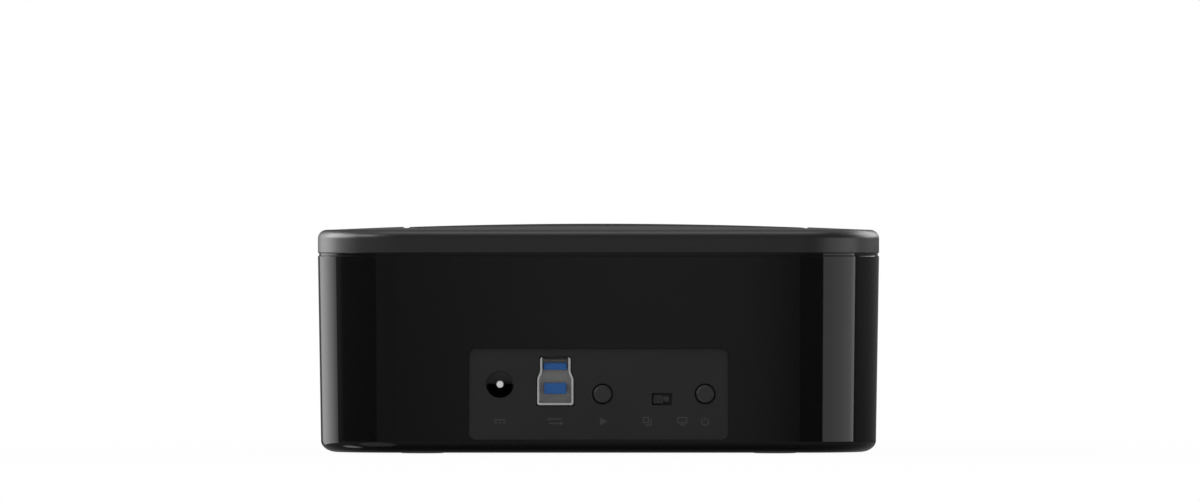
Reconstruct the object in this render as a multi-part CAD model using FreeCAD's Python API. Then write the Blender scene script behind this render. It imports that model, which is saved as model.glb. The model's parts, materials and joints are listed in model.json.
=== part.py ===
import FreeCAD, Part
import math
import os

from FreeCAD import Vector

# Dual-bay drive duplicator. Millimetres, +Z up, the back with the sockets faces +Y,
# and the origin is at the middle of the footprint, on the table.
# The slots take 3.5 inch drives (101.6 x 26.1 mm), and the casing follows from them
# and from the length of the sockets behind them.

# Drive slots and wells
slot_length = 105.0
slot_depth = 28.0
slot_centre_x = -2.0
slot_radius = 1.5
slot_chamfer = 1.2
slot_end_room = 22.0
front_room = 11.6
well_wall = 1.4
well_end_room = 1.0
well_stop_room = 1.2
well_hinge_room = 3.4
well_floor = 1.4
well_corner = 2.0
well_foot_height = 2.0
well_foot_width = 3.2
well_foot_inset_x = 7.5
well_foot_inset_y = 4.0
well_gap = 0.8
guide_rib_height = 0.6
guide_rib_width = 1.6
guide_rib_pitch = 12.0
guide_rib_count = 5

# Casing
corner_radius = 22.0
case_draft = 0.9
foot_gap = 0.3
housing_height = 53.5
housing_wall = 2.4
housing_floor = 3.6
lower_edge_width = 6.5
lower_edge_height = 3.6
edge_steps = 4
seam_gap = 0.6
seam_depth = 1.0
rim_chamfer = 0.4

# Top cover
cover_side_height = 6.5
cover_thickness = 2.2
cover_wall = 3.6
cover_edge_radius = 2.5
dome_rise = 1.75
dome_edge_drop = 0.08
tongue_depth = 2.5
tongue_clearance = 0.15
seat_rib = 1.6

# Slot bezel, the insert that holds both slot mouths
bezel_end_margin = 2.7
bezel_side_margin = 4.4
bezel_radius = 3.0
bezel_clearance = 0.15
bezel_groove = 0.35
bezel_sink = 0.1
bezel_seat_drop = 2.2
bezel_flange = 2.0
bezel_flange_thickness = 1.6

# Base plate, its screws and its feet
plate_inset = 7.5
plate_ledge = 2.0
plate_clearance = 0.2
plate_thickness = 1.8
plate_rib_height = 2.0
plate_rib_width = 1.4
vent_count = 7
vent_length = 26.0
vent_width = 2.2
vent_pitch = 5.2
vent_offset_x = 24.0
post_inset_x = 14.0
post_inset_y = 23.5
post_width = 6.5
post_boss_height = 3.8
screw_radius = 1.3
screw_head_radius = 2.7
screw_head_height = 1.8
screw_recess = 0.5
screw_bite = 10.0
screw_clearance = 0.1
foot_inset_x = 28.5
foot_inset_y = 19.5
foot_radius = 5.8
foot_recess = 0.6
foot_clearance = 0.15

# Main board
board_inset_x = 18.5
board_inset_front = 8.5
board_inset_back = 6.5
board_corner = 3.0
board_thickness = 1.6
standoff_height = 9.3
standoff_width = 5.4
board_screw_inset_x = 6.0
board_screw_inset_y = 8.0
board_screw_radius = 1.1
board_screw_head_radius = 2.3
board_screw_head_height = 1.4
board_screw_bite = 6.0
board_screw_clearance = 0.2

# Dust flaps
flap_thickness = 1.6
flap_gap = 0.3
flap_overlap = 0.8
flap_side_gap = 0.4
flap_split_gap = 0.6
flap_tip_chamfer = 0.5
narrow_flap_length = 25.0
hinge_back_set = 1.6
hinge_pin_radius = 0.6
hinge_clearance = 0.05
barrel_wall = 0.6
spring_notch = 7.0
spring_wire = 0.35
spring_length = 4.8
spring_leg = 8.0
spring_inset = 9.0

# Drive sockets
socket_length = 46.0
socket_width = 6.4
socket_height = 8.2
socket_tower_width = 2.6
socket_tower_rise = 2.0
socket_offset_x = -17.4
socket_from_back = 4.1
socket_room = 0.8
socket_slot_width = 1.9
socket_slot_depth = 6.0
socket_key_length = 1.4
socket_key_width = 1.0
signal_slot = (-16.9, -6.3)
power_slot = (-4.1, 16.9)
contact_pitch = 1.27
contact_width = 0.6
contact_thickness = 0.3
contact_height = 5.4
signal_contacts = 7
power_contacts = 15

# Rear plate, with the steps from one socket or control to the next
inlet_inset = 8.55
inlet_to_usb = 15.0
usb_to_start = 12.8
start_to_slide = 16.1
slide_to_power = 11.7
power_inset = 6.35
panel_low_z = 3.8
panel_high_z = 28.7
panel_radius = 2.0
panel_recess = 0.4
panel_clearance = 0.12
panel_flange = 1.8
panel_flange_thickness = 1.0
panel_seat_gap = 0.05

# Power inlet
inlet_rise = 5.9
inlet_hole_radius = 3.7
inlet_bore_radius = 3.2
inlet_snout_radius = 4.5
inlet_snout_length = 4.0
inlet_snout_gap = 0.1
inlet_body_width = 9.0
inlet_body_length = 13.0
inlet_bore_depth = 10.0
inlet_pin_radius = 1.0
inlet_pin_tip = 0.4
inlet_pin_set_back = 1.2
inlet_leaf_width = 2.0
inlet_leaf_thickness = 0.3
inlet_leaf_set_back = 1.0

# Square USB socket
usb_rise = 0.3
usb_width = 9.8
usb_neck_width = 8.2
usb_height = 12.9
usb_shoulder_low = 7.2
usb_shoulder_high = 9.0
usb_wall = 0.55
usb_length = 17.0
usb_proud = 0.25
usb_hole_clearance = 0.2
usb_block_length = 6.0
usb_tongue_width = 6.0
usb_tongue_low = 3.0
usb_tongue_thickness = 3.0
usb_tongue_set_back = 1.4
usb_upper_width = 6.3
usb_upper_low = 9.5
usb_upper_thickness = 1.9
usb_contact_width = 1.0
usb_contact_thickness = 0.15
usb_contact_set_back = 0.6
usb_contact_offset = 1.25
usb_upper_contact_width = 0.5
usb_upper_contact_pitch = 1.0
usb_upper_contacts = 5

# Push buttons
button_rise = 3.3
button_radius = 2.45
button_gap = 0.35
button_proud = 0.6
button_edge = 0.7
button_flange_radius = 3.6
button_flange_thickness = 1.0
button_rest_gap = 0.3
button_stem_radius = 1.5
button_stem_length = 0.6
button_travel = 0.5
tact_size = 6.0
tact_depth = 4.6
plunger_radius = 1.75
plunger_length = 2.4
plunger_show = 1.2
plunger_clearance = 0.3

# Slide switch
slide_rise = 1.9
slide_window_width = 5.4
slide_window_height = 3.2
knob_width = 2.5
knob_height = 2.5
knob_end_gap = 0.35
knob_set_back = 0.5
knob_neck = 1.4
knob_rib_count = 3
knob_rib_pitch = 0.6
knob_rib_width = 0.25
knob_rib_depth = 0.2
slide_body_width = 8.8
slide_body_height = 3.9
slide_body_depth = 5.2
slide_channel_depth = 2.0
slide_clearance = 0.3

# Front indicators
indicator_count = 6
indicator_pitch = 7.0
indicator_rise = 0.7
pip_width = 3.0
pip_height = 1.2
pip_clearance = 0.1
light_bar_margin = 2.0
light_bar_height = 1.8
light_bar_depth = 1.6
light_bar_gap = 0.3
led_size = (1.6, 0.8, 0.7)

# Parts on the board: size over the leads, and height
lead_reach = 0.6
lead_share = 0.3
chip_stand = 0.1
chip_chamfer = 0.2
controller_size = (10.0, 10.0, 1.1)
firmware_size = (5.0, 4.0, 1.2)
crystal_size = (11.0, 4.4, 1.5)
inductor_base = (7.0, 7.0, 1.2)
inductor_radius = 3.0
inductor_height = 3.6
capacitor_base = (6.6, 6.6, 0.9)
capacitor_radius = 3.1
capacitor_height = 7.0
front_part_inset = 20.0
crystal_inset = 9.0
controller_x = 22.0
firmware_x = 36.0
back_part_inset = 4.0
part_step = 7.9
part_gap = 7.3
part_inlet_gap = 8.9

# A cutting shape reaches this far past what it cuts, and joined shapes this far into each other
over = 1.0
bite = 0.5
hair = 0.01

# Levels and places that follow from the sizes above
underside_z = foot_gap
housing_top = underside_z + housing_height
cover_bottom = housing_top + seam_gap
cover_rim = cover_bottom + cover_side_height
dome_top = cover_rim + dome_rise
plate_top = underside_z + plate_thickness
board_bottom = plate_top + standoff_height
board_top = board_bottom + board_thickness
bezel_seat = cover_rim - bezel_seat_drop
bezel_under = bezel_seat - bezel_flange_thickness
barrel_radius = hinge_pin_radius + barrel_wall
flap_top = bezel_under - flap_gap
hinge_z = flap_top - barrel_radius
well_bottom = board_top + well_foot_height


def draft_at(z):
    # how far the casing leans in at this height
    return case_draft * max(0.0, housing_top - z) / housing_height


well_room = well_gap + well_wall + well_stop_room
bay_pitch = slot_depth + well_room + well_hinge_room + well_wall
panel_set_back = draft_at((panel_low_z + panel_high_z) / 2) + panel_recess
rear_room = panel_set_back - usb_proud + usb_length + well_room
case_depth = rear_room + slot_depth + bay_pitch + front_room
case_width = slot_length + 2 * (abs(slot_centre_x) + slot_end_room)
rear_slot_back = case_depth / 2 - rear_room
bays = {"rear": rear_slot_back, "front": rear_slot_back - bay_pitch}
slot_left = slot_centre_x - slot_length / 2
slot_right = slot_centre_x + slot_length / 2

panel_face = case_depth / 2 - panel_set_back
panel_seat = case_depth / 2 - housing_wall - panel_seat_gap
panel_back = panel_seat - panel_flange_thickness
usb_front = panel_face + usb_proud
usb_back = usb_front - usb_length
panel_width = inlet_inset + inlet_to_usb + usb_to_start + start_to_slide + slide_to_power + power_inset
inlet_x = panel_width / 2 - inlet_inset
usb_x = inlet_x - inlet_to_usb
start_x = usb_x - usb_to_start
slide_x = start_x - start_to_slide
power_x = slide_x - slide_to_power

post_x = case_width / 2 - post_inset_x
post_y = case_depth / 2 - post_inset_y
foot_x = case_width / 2 - foot_inset_x
foot_y = case_depth / 2 - foot_inset_y
board_half_width = case_width / 2 - board_inset_x
board_front_y = board_inset_front - case_depth / 2
board_back_y = case_depth / 2 - board_inset_back
board_screw_x = board_half_width - board_screw_inset_x
board_screw_y = -board_front_y - board_screw_inset_y


def at_height(z):
    return lambda u, v: Vector(u, v, z)


def at_depth(y):
    return lambda u, v: Vector(u, y, v)


def round_rect(u, v, radius, place):
    corners = (
        (u[1] - radius, v[0] + radius, -90),
        (u[1] - radius, v[1] - radius, 0),
        (u[0] + radius, v[1] - radius, 90),
        (u[0] + radius, v[0] + radius, 180),
    )
    arcs = []
    for middle_u, middle_v, start in corners:
        turns = [math.radians(start + turn) for turn in (0, 45, 90)]
        arcs.append([place(middle_u + radius * math.cos(a), middle_v + radius * math.sin(a)) for a in turns])
    edges = []
    for number, arc in enumerate(arcs):
        edges.append(Part.LineSegment(arcs[number - 1][2], arc[0]).toShape())
        edges.append(Part.Arc(*arc).toShape())
    return Part.Wire(edges)


def upright(wire, height):
    return Part.Face(wire).extrude(Vector(0, 0, height))


def slab(x, y, radius, z):
    return upright(round_rect(x, y, radius, at_height(z[0])), z[1] - z[0])


def rear_slab(x, z, radius, y):
    return Part.Face(round_rect(x, z, radius, at_depth(y[0]))).extrude(Vector(0, y[1] - y[0], 0))


def block(x, y, z):
    return Part.makeBox(x[1] - x[0], y[1] - y[0], z[1] - z[0], Vector(x[0], y[0], z[0]))


def around(middle, size):
    return (middle - size / 2, middle + size / 2)


def pillar(x, y, width, z):
    return block(around(x, width), around(y, width), z)


def rod_z(x, y, radius, z):
    return Part.makeCylinder(radius, z[1] - z[0], Vector(x, y, z[0]))


def rod_y(x, z, radius, y):
    return Part.makeCylinder(radius, y[1] - y[0], Vector(x, y[0], z), Vector(0, 1, 0))


def rod_x(y, z, radius, x):
    return Part.makeCylinder(radius, x[1] - x[0], Vector(x[0], y, z), Vector(1, 0, 0))


def four(x, y):
    return [(sx * x, sy * y) for sx in (-1, 1) for sy in (-1, 1)]


def in_a_row(count, pitch, middle=0.0):
    first = middle - pitch * (count - 1) / 2
    return [first + pitch * number for number in range(count)]


def edges_where(shape, test):
    return [edge for edge in shape.Edges if test(edge.BoundBox)]


def casing_outline(inset, z):
    inset = inset + draft_at(z)
    half_x = case_width / 2 - inset
    half_y = case_depth / 2 - inset
    return round_rect((-half_x, half_x), (-half_y, half_y), corner_radius - inset, at_height(z))


def inner_outline(inset, z):
    # without the draft, for what stands inside the casing
    return casing_outline(inset - draft_at(z), z)


def ring(outer_inset, inner_inset, low, high):
    outer = upright(casing_outline(outer_inset, low), high - low)
    return outer.cut(upright(casing_outline(inner_inset, low), high - low))


def under_dome(drop):
    # everything below the shallow dome, lowered by drop; its edge is level and lies a little under the rim
    reach_x = case_width / 2 - cover_edge_radius
    reach_y = case_depth / 2 - cover_edge_radius
    edge_z = cover_rim - dome_edge_drop - drop
    surface = Part.BezierSurface()
    surface.increase(2, 2)
    for column, x in enumerate((-reach_x, 0, reach_x), 1):
        for row, y in enumerate((-reach_y, 0, reach_y), 1):
            # the middle pole lifts the middle of the surface by a quarter of its own height
            rise = 4 * (dome_rise + dome_edge_drop) if (x, y) == (0, 0) else 0
            surface.setPole(column, row, Vector(x, y, edge_z + rise))
    return surface.toShape().extrude(Vector(0, 0, -housing_height))


def rounded_edge(width, height, wall_z, face_z):
    # outlines that turn from the upright wall at wall_z into the flat face at face_z
    sections = []
    for step in range(edge_steps + 1):
        turn = math.radians(90) * step / edge_steps
        rise = math.copysign(height * math.sin(turn), face_z - wall_z)
        sections.append(casing_outline(width * (1 - math.cos(turn)), wall_z + rise))
    return sections


def bezel_span(grow):
    x = (slot_left - bezel_end_margin - grow, slot_right + bezel_end_margin + grow)
    y = (bays["front"] - slot_depth - bezel_side_margin - grow, bays["rear"] + bezel_side_margin + grow)
    return x, y, bezel_radius + grow


def top_cover():
    side_top = cover_rim - cover_edge_radius
    edge = rounded_edge(cover_edge_radius, cover_edge_radius, side_top, cover_rim)
    shell = upright(casing_outline(0, cover_bottom), side_top - cover_bottom)
    shell = shell.fuse(Part.makeLoft(edge, True, True))
    crown = upright(casing_outline(cover_edge_radius, side_top), dome_top - side_top + over)
    shell = shell.fuse(crown.common(under_dome(0)))
    hollow = upright(casing_outline(cover_wall, cover_bottom), dome_top - cover_bottom)
    shell = shell.cut(hollow.common(under_dome(cover_thickness)))
    tongue_z = (cover_bottom - tongue_depth, cover_bottom + over)
    shell = shell.fuse(ring(housing_wall + tongue_clearance, cover_wall, *tongue_z))
    seat = slab(*bezel_span(bezel_clearance + seat_rib), (bezel_seat, dome_top))
    shell = shell.fuse(seat.common(under_dome(cover_thickness / 2)))
    post_foot = plate_top + post_boss_height
    for x, y in four(post_x, post_y):
        shell = shell.fuse(pillar(x, y, post_width, (post_foot, cover_rim - over)))
    shell = shell.cut(slab(*bezel_span(bezel_clearance), (bezel_seat - over, dome_top + over)))
    for x, y in four(post_x, post_y):
        shell = shell.cut(rod_z(x, y, screw_radius, (post_foot - over, post_foot + screw_bite + over)))
    shell = shell.removeSplitter()
    x, y, radius = bezel_span(bezel_clearance + hair)
    mouth = edges_where(shell, lambda box: box.ZMin > side_top and box.XMin > x[0] and box.XMax < x[1])
    mouth = [edge for edge in mouth if y[0] < edge.CenterOfMass.y < y[1]]
    return shell.makeChamfer(bezel_groove, mouth)


def slot_bezel():
    side_top = cover_rim - cover_edge_radius
    flange = slab(*bezel_span(bezel_flange), (bezel_under, bezel_seat))
    raised = slab(*bezel_span(0), (bezel_under, dome_top + over)).common(under_dome(bezel_sink))
    outer = edges_where(raised, lambda box: box.ZMin > side_top)
    bezel = raised.makeChamfer(bezel_groove, outer).fuse(flange)
    for back in bays.values():
        mouth = ((slot_left, slot_right), (back - slot_depth, back), slot_radius)
        bezel = bezel.cut(slab(*mouth, (bezel_under - over, dome_top + over)))
    bezel = bezel.removeSplitter()
    low_y = bays["front"] - slot_depth - hair
    high_y = bays["rear"] + hair
    # only the slots' own upper edges, and not the groove round the insert
    mouths = edges_where(bezel, lambda box: box.ZMin > side_top and box.YMin > low_y and box.YMax < high_y)
    mouths = [edge for edge in mouths if edge.BoundBox.ZMin > bezel_seat + slot_chamfer]
    mouths = [edge for edge in mouths if abs(edge.CenterOfMass.x - slot_centre_x) < slot_length / 2 + hair]
    return bezel.makeChamfer(slot_chamfer, mouths)


def housing_outer():
    bend_top = underside_z + lower_edge_height
    chamfer_z = housing_top - rim_chamfer
    lower = rounded_edge(lower_edge_width, lower_edge_height, bend_top, underside_z)
    upper = [casing_outline(0, bend_top), casing_outline(0, chamfer_z)]
    rim = [casing_outline(0, chamfer_z), casing_outline(rim_chamfer, housing_top)]
    bands = [Part.makeLoft(sections, True, True) for sections in (lower, upper, rim)]
    return bands[0].fuse(bands[1:])


def main_housing():
    floor_top = underside_z + housing_floor
    shell = housing_outer()
    shell = shell.fuse(upright(casing_outline(seam_depth, housing_top), seam_gap))
    shell = shell.cut(upright(inner_outline(housing_wall, floor_top), cover_bottom - floor_top + over))
    through = housing_floor + 2 * over
    shell = shell.cut(upright(casing_outline(plate_inset + plate_ledge, underside_z - over), through))
    shell = shell.cut(upright(casing_outline(plate_inset, underside_z - over), plate_thickness + over))
    window = ((-panel_width / 2, panel_width / 2), (panel_low_z, panel_high_z), panel_radius)
    shell = shell.cut(rear_slab(*window, (panel_back - over, case_depth / 2 + over)))
    front_y = (-case_depth / 2 - over, housing_wall + over - case_depth / 2)
    pip_z = around(board_top + indicator_rise, pip_height + 2 * pip_clearance)
    for x in in_a_row(indicator_count, indicator_pitch):
        shell = shell.cut(block(around(x, pip_width + 2 * pip_clearance), front_y, pip_z))
    return shell.removeSplitter()


def base_plate():
    plate = upright(casing_outline(plate_inset + plate_clearance, underside_z), plate_thickness)
    rib_z = (plate_top - bite, plate_top + plate_rib_height)
    for y in (-board_screw_y, board_screw_y):
        plate = plate.fuse(block((-board_screw_x, board_screw_x), around(y, plate_rib_width), rib_z))
    for x in (-board_screw_x, board_screw_x):
        plate = plate.fuse(block(around(x, plate_rib_width), (-board_screw_y, board_screw_y), rib_z))
    head_top = underside_z + screw_recess + screw_head_height
    for x, y in four(post_x, post_y):
        plate = plate.fuse(pillar(x, y, post_width, (plate_top - bite, plate_top + post_boss_height)))
        plate = plate.cut(rod_z(x, y, screw_head_radius + screw_clearance, (underside_z - over, head_top)))
        plate = plate.cut(rod_z(x, y, screw_radius + screw_clearance, (underside_z, board_bottom)))
    pilot_z = (board_top - board_screw_bite - over, board_top)
    for x, y in four(board_screw_x, board_screw_y):
        plate = plate.fuse(pillar(x, y, standoff_width, (plate_top - bite, board_bottom)))
        plate = plate.cut(rod_z(x, y, board_screw_radius, pilot_z))
    recess_z = (underside_z - over, underside_z + foot_recess)
    for x, y in four(foot_x, foot_y):
        plate = plate.cut(rod_z(x, y, foot_radius + foot_clearance, recess_z))
    for side in (-1, 1):
        for middle_y in in_a_row(vent_count, vent_pitch):
            vent = (around(side * vent_offset_x, vent_length), around(middle_y, vent_width))
            plate = plate.cut(block(*vent, (underside_z - over, plate_top + over)))
    return plate.removeSplitter()


def rubber_foot(x, y):
    return rod_z(x, y, foot_radius, (0, underside_z + foot_recess))


def screw(x, y, bearing, head_radius, head_height, radius, reach):
    # bearing is the height at which the head bears, and a negative reach points the shank down
    up = math.copysign(1, reach)
    head = Part.makeCylinder(head_radius, head_height, Vector(x, y, bearing), Vector(0, 0, -up))
    return head.fuse(Part.makeCylinder(radius, abs(reach), Vector(x, y, bearing), Vector(0, 0, up)))


def case_screws():
    bearing = underside_z + screw_recess + screw_head_height
    reach = plate_top + post_boss_height + screw_bite - bearing
    sizes = (bearing, screw_head_radius, screw_head_height, screw_radius - screw_clearance / 2, reach)
    return Part.makeCompound([screw(x, y, *sizes) for x, y in four(post_x, post_y)])


def board_screws():
    shank = board_screw_radius - screw_clearance / 2
    sizes = (board_top, board_screw_head_radius, board_screw_head_height, shank, -board_screw_bite)
    return Part.makeCompound([screw(x, y, *sizes) for x, y in four(board_screw_x, board_screw_y)])


def main_board():
    z = (board_bottom, board_top)
    board = slab((-board_half_width, board_half_width), (board_front_y, board_back_y), board_corner, z)
    hole_radius = board_screw_radius + board_screw_clearance
    for x, y in four(board_screw_x, board_screw_y):
        board = board.cut(rod_z(x, y, hole_radius, (board_bottom - over, board_top + over)))
    return board


def socket_span(back, grow):
    x = around(slot_centre_x + socket_offset_x, socket_length + 2 * grow)
    y = around(back - socket_from_back, socket_width + 2 * grow)
    return x, y


def drive_well(back):
    front = back - slot_depth
    inner_x = (slot_left - well_end_room, slot_right + well_end_room)
    inner_y = (front - well_hinge_room, back + well_stop_room)
    outer_x = (inner_x[0] - well_wall, inner_x[1] + well_wall)
    outer_y = (inner_y[0] - well_wall, inner_y[1] + well_wall)
    floor_z = well_bottom + well_floor
    well = slab(outer_x, outer_y, well_corner, (well_bottom, bezel_under))
    well = well.cut(block(inner_x, inner_y, (floor_z, bezel_under + over)))
    rib_y = (inner_y[1] - guide_rib_height, inner_y[1] + bite)
    rib_z = (floor_z - bite, hinge_z - 2 * barrel_radius)
    for x in in_a_row(guide_rib_count, guide_rib_pitch, slot_centre_x):
        well = well.fuse(block(around(x, guide_rib_width), rib_y, rib_z))
    for x in (outer_x[0] + well_foot_inset_x, outer_x[1] - well_foot_inset_x):
        for y in (outer_y[0] + well_foot_inset_y, outer_y[1] - well_foot_inset_y):
            foot = (around(x, well_foot_width), around(y, well_foot_width))
            well = well.fuse(block(*foot, (board_top, well_bottom + bite)))
    well = well.cut(block(*socket_span(back, socket_room), (well_bottom - over, floor_z + over)))
    pin_x = (outer_x[0] - over, outer_x[1] + over)
    return well.cut(rod_x(front - hinge_back_set, hinge_z, hinge_pin_radius, pin_x)).removeSplitter()


def hinge_pin(back):
    x = (slot_left - well_end_room - well_wall, slot_right + well_end_room + well_wall)
    return rod_x(back - slot_depth - hinge_back_set, hinge_z, hinge_pin_radius, x)


def flap_spans():
    low = slot_left - well_end_room + flap_side_gap
    high = slot_right + well_end_room - flap_side_gap
    split = slot_right - narrow_flap_length
    return {"wide": (low, split - flap_split_gap / 2), "narrow": (split + flap_split_gap / 2, high)}


def dust_flap(back, x):
    hinge_y = back - slot_depth - hinge_back_set
    tip_y = back + flap_overlap
    leaf = block(x, (hinge_y, tip_y), (flap_top - flap_thickness, flap_top))
    tip = edges_where(leaf, lambda box: box.YMin > tip_y - hair and box.XLength > flap_thickness)
    leaf = leaf.makeChamfer(flap_tip_chamfer, tip)
    flap = leaf.fuse(rod_x(hinge_y, hinge_z, barrel_radius, x))
    flap = flap.cut(rod_x(hinge_y, hinge_z, hinge_pin_radius + hinge_clearance, (x[0] - over, x[1] + over)))
    notch_x = around(x[0] + spring_inset, spring_notch)
    notch_y = (hinge_y - 2 * barrel_radius, hinge_y + barrel_radius + flap_gap)
    notch_z = (hinge_z - 2 * barrel_radius, flap_top + over)
    return flap.cut(block(notch_x, notch_y, notch_z)).removeSplitter()


def flap_spring(back, x):
    # a coil round the pin, one leg down the well's wall and one out under the leaf
    hinge_y = back - slot_depth - hinge_back_set
    inner = hinge_pin_radius + hinge_clearance
    low, high = around(x[0] + spring_inset, spring_length)
    coil = rod_x(hinge_y, hinge_z, inner + spring_wire, (low, high))
    coil = coil.cut(rod_x(hinge_y, hinge_z, inner, (low - over, high + over)))
    wall_leg = block((low, low + spring_wire), (hinge_y - inner - spring_wire, hinge_y - inner),
                     (hinge_z - spring_leg, hinge_z))
    leaf_leg = block((high - spring_wire, high), (hinge_y, hinge_y + barrel_radius),
                     (hinge_z + inner, hinge_z + inner + spring_wire))
    return coil.fuse([wall_leg, leaf_leg]).removeSplitter()


def drive_socket(back):
    x, y = socket_span(back, 0)
    middle_x = sum(x) / 2
    top = board_top + socket_height
    body = block(x, y, (board_top, top))
    for end in ((x[0], x[0] + socket_tower_width), (x[1] - socket_tower_width, x[1])):
        body = body.fuse(block(end, y, (board_top, top + socket_tower_rise)))
    slot_y = around(sum(y) / 2, socket_slot_width)
    slot_z = (top - socket_slot_depth, top + over)
    for low, high in (signal_slot, power_slot):
        body = body.cut(block((middle_x + low, middle_x + high), slot_y, slot_z))
        key_x = (middle_x + low, middle_x + low + socket_key_length)
        body = body.cut(block(key_x, (slot_y[0], slot_y[1] + socket_key_width), slot_z))
    return body.removeSplitter()


def socket_contacts(back):
    x, y = socket_span(back, 0)
    middle_x = sum(x) / 2
    wall_y = sum(y) / 2 - socket_slot_width / 2
    strip_y = (wall_y, wall_y + contact_thickness)
    low_z = board_top + socket_height - socket_slot_depth
    strips = []
    for (low, high), count in ((signal_slot, signal_contacts), (power_slot, power_contacts)):
        for strip_x in in_a_row(count, contact_pitch, middle_x + (low + high) / 2):
            strips.append(block(around(strip_x, contact_width), strip_y, (low_z, low_z + contact_height)))
    return Part.makeCompound(strips)


def usb_outline(grow, y):
    half = usb_width / 2 + grow
    neck = usb_neck_width / 2 + grow
    low = board_top + usb_rise
    # the sloped shoulders keep their distance as the outline grows
    slope = math.atan2(half - neck, usb_shoulder_high - usb_shoulder_low)
    shift = grow * math.tan(slope / 2)
    right = [
        (half, low - grow),
        (half, low + usb_shoulder_low + shift),
        (neck, low + usb_shoulder_high + shift),
        (neck, low + usb_height + grow),
    ]
    points = right + [(-u, z) for u, z in reversed(right)]
    return Part.makePolygon([Vector(usb_x + u, y, z) for u, z in points + points[:1]])


def usb_solid(grow, y):
    return Part.Face(usb_outline(grow, y[0])).extrude(Vector(0, y[1] - y[0], 0))


def usb_shell():
    inside = usb_solid(-usb_wall, (usb_back + usb_wall, usb_front + over))
    return usb_solid(0, (usb_back, usb_front)).cut(inside)


def usb_tongues():
    low = board_top + usb_rise
    y = (usb_back + usb_wall, usb_front - usb_tongue_set_back)
    lower_z = (low + usb_tongue_low, low + usb_tongue_low + usb_tongue_thickness)
    upper_z = (low + usb_upper_low, low + usb_upper_low + usb_upper_thickness)
    spans = ((usb_tongue_width, lower_z), (usb_upper_width, upper_z))
    return [block(around(usb_x, width), y, z) for width, z in spans]


def usb_insulator():
    back = usb_solid(-usb_wall, (usb_back + usb_wall, usb_back + usb_wall + usb_block_length))
    return back.fuse(usb_tongues()).removeSplitter()


def usb_contacts():
    lower, upper = [piece.BoundBox for piece in usb_tongues()]
    y = (usb_back + usb_wall + usb_block_length, lower.YMax - usb_contact_set_back)
    strips = []
    for x in (usb_x - usb_contact_offset, usb_x + usb_contact_offset):
        span = (around(x, usb_contact_width), y)
        strips.append(block(*span, (lower.ZMax, lower.ZMax + usb_contact_thickness)))
        strips.append(block(*span, (lower.ZMin - usb_contact_thickness, lower.ZMin)))
    for x in in_a_row(usb_upper_contacts, usb_upper_contact_pitch, usb_x):
        span = (around(x, usb_upper_contact_width), y)
        strips.append(block(*span, (upper.ZMin - usb_contact_thickness, upper.ZMin)))
    return Part.makeCompound(strips)


inlet_z = board_top + inlet_rise
inlet_front = panel_back - inlet_snout_gap
inlet_bore_back = inlet_front - inlet_bore_depth


def dc_inlet_body():
    snout_back = inlet_front - inlet_snout_length
    body_y = (inlet_front - inlet_body_length, snout_back)
    body = block(around(inlet_x, inlet_body_width), body_y, (board_top, inlet_z + inlet_body_width / 2))
    body = body.fuse(rod_y(inlet_x, inlet_z, inlet_snout_radius, (snout_back, inlet_front)))
    body = body.cut(rod_y(inlet_x, inlet_z, inlet_bore_radius, (inlet_bore_back, inlet_front + over)))
    leaf_y = (inlet_bore_back, inlet_front - inlet_leaf_set_back)
    leaf_z = (inlet_z - inlet_bore_radius - inlet_leaf_thickness, inlet_z)
    return body.cut(block(around(inlet_x, inlet_leaf_width), leaf_y, leaf_z)).removeSplitter()


def dc_inlet_pin():
    tip = panel_face - inlet_pin_set_back
    pin = rod_y(inlet_x, inlet_z, inlet_pin_radius, (inlet_bore_back, tip))
    return pin.makeChamfer(inlet_pin_tip, edges_where(pin, lambda box: box.YMin > tip - hair))


def dc_inlet_leaf():
    low = inlet_z - inlet_bore_radius - inlet_leaf_thickness
    y = (inlet_bore_back, inlet_front - inlet_leaf_set_back)
    return block(around(inlet_x, inlet_leaf_width), y, (low, low + inlet_leaf_thickness))


def rear_io_plate():
    x = around(0, panel_width - 2 * panel_clearance)
    z = (panel_low_z + panel_clearance, panel_high_z - panel_clearance)
    plate = rear_slab(x, z, panel_radius - panel_clearance, (panel_back, panel_face))
    flange_x = (x[0] - panel_flange, x[1] + panel_flange)
    flange_z = (underside_z + housing_floor + panel_clearance, z[1] + panel_flange)
    plate = plate.fuse(rear_slab(flange_x, flange_z, panel_radius, (panel_back, panel_seat)))
    hole_y = (panel_back - over, panel_face + over)
    plate = plate.cut(usb_solid(usb_hole_clearance, hole_y))
    plate = plate.cut(rod_y(inlet_x, inlet_z, inlet_hole_radius, hole_y))
    for button_x in (start_x, power_x):
        plate = plate.cut(rod_y(button_x, board_top + button_rise, button_radius + button_gap, hole_y))
    window_x = around(slide_x, slide_window_width)
    window_z = around(board_top + slide_rise, slide_window_height)
    return plate.cut(block(window_x, hole_y, window_z)).removeSplitter()


# where the flange of a button rests and where its stem ends
flange_front = panel_back - button_rest_gap
flange_back = flange_front - button_flange_thickness
stem_back = flange_back - button_stem_length


def button_cap(x):
    z = board_top + button_rise
    face = panel_face + button_proud
    cap = rod_y(x, z, button_radius, (flange_front - bite, face))
    cap = cap.makeChamfer(button_edge, edges_where(cap, lambda box: box.YMin > face - hair))
    cap = cap.fuse(rod_y(x, z, button_flange_radius, (flange_back, flange_front)))
    return cap.fuse(rod_y(x, z, button_stem_radius, (stem_back, flange_front))).removeSplitter()


def tact_plunger(x):
    return rod_y(x, board_top + button_rise, plunger_radius, (stem_back - plunger_length, stem_back))


def tact_switch(x):
    z = board_top + button_rise
    front = stem_back - plunger_show
    body = block(around(x, tact_size), (front - tact_depth, front), (board_top, z + tact_size / 2))
    hollow_back = stem_back - plunger_length - button_travel - plunger_clearance
    return body.cut(rod_y(x, z, plunger_radius + plunger_clearance, (hollow_back, front + over)))


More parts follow.
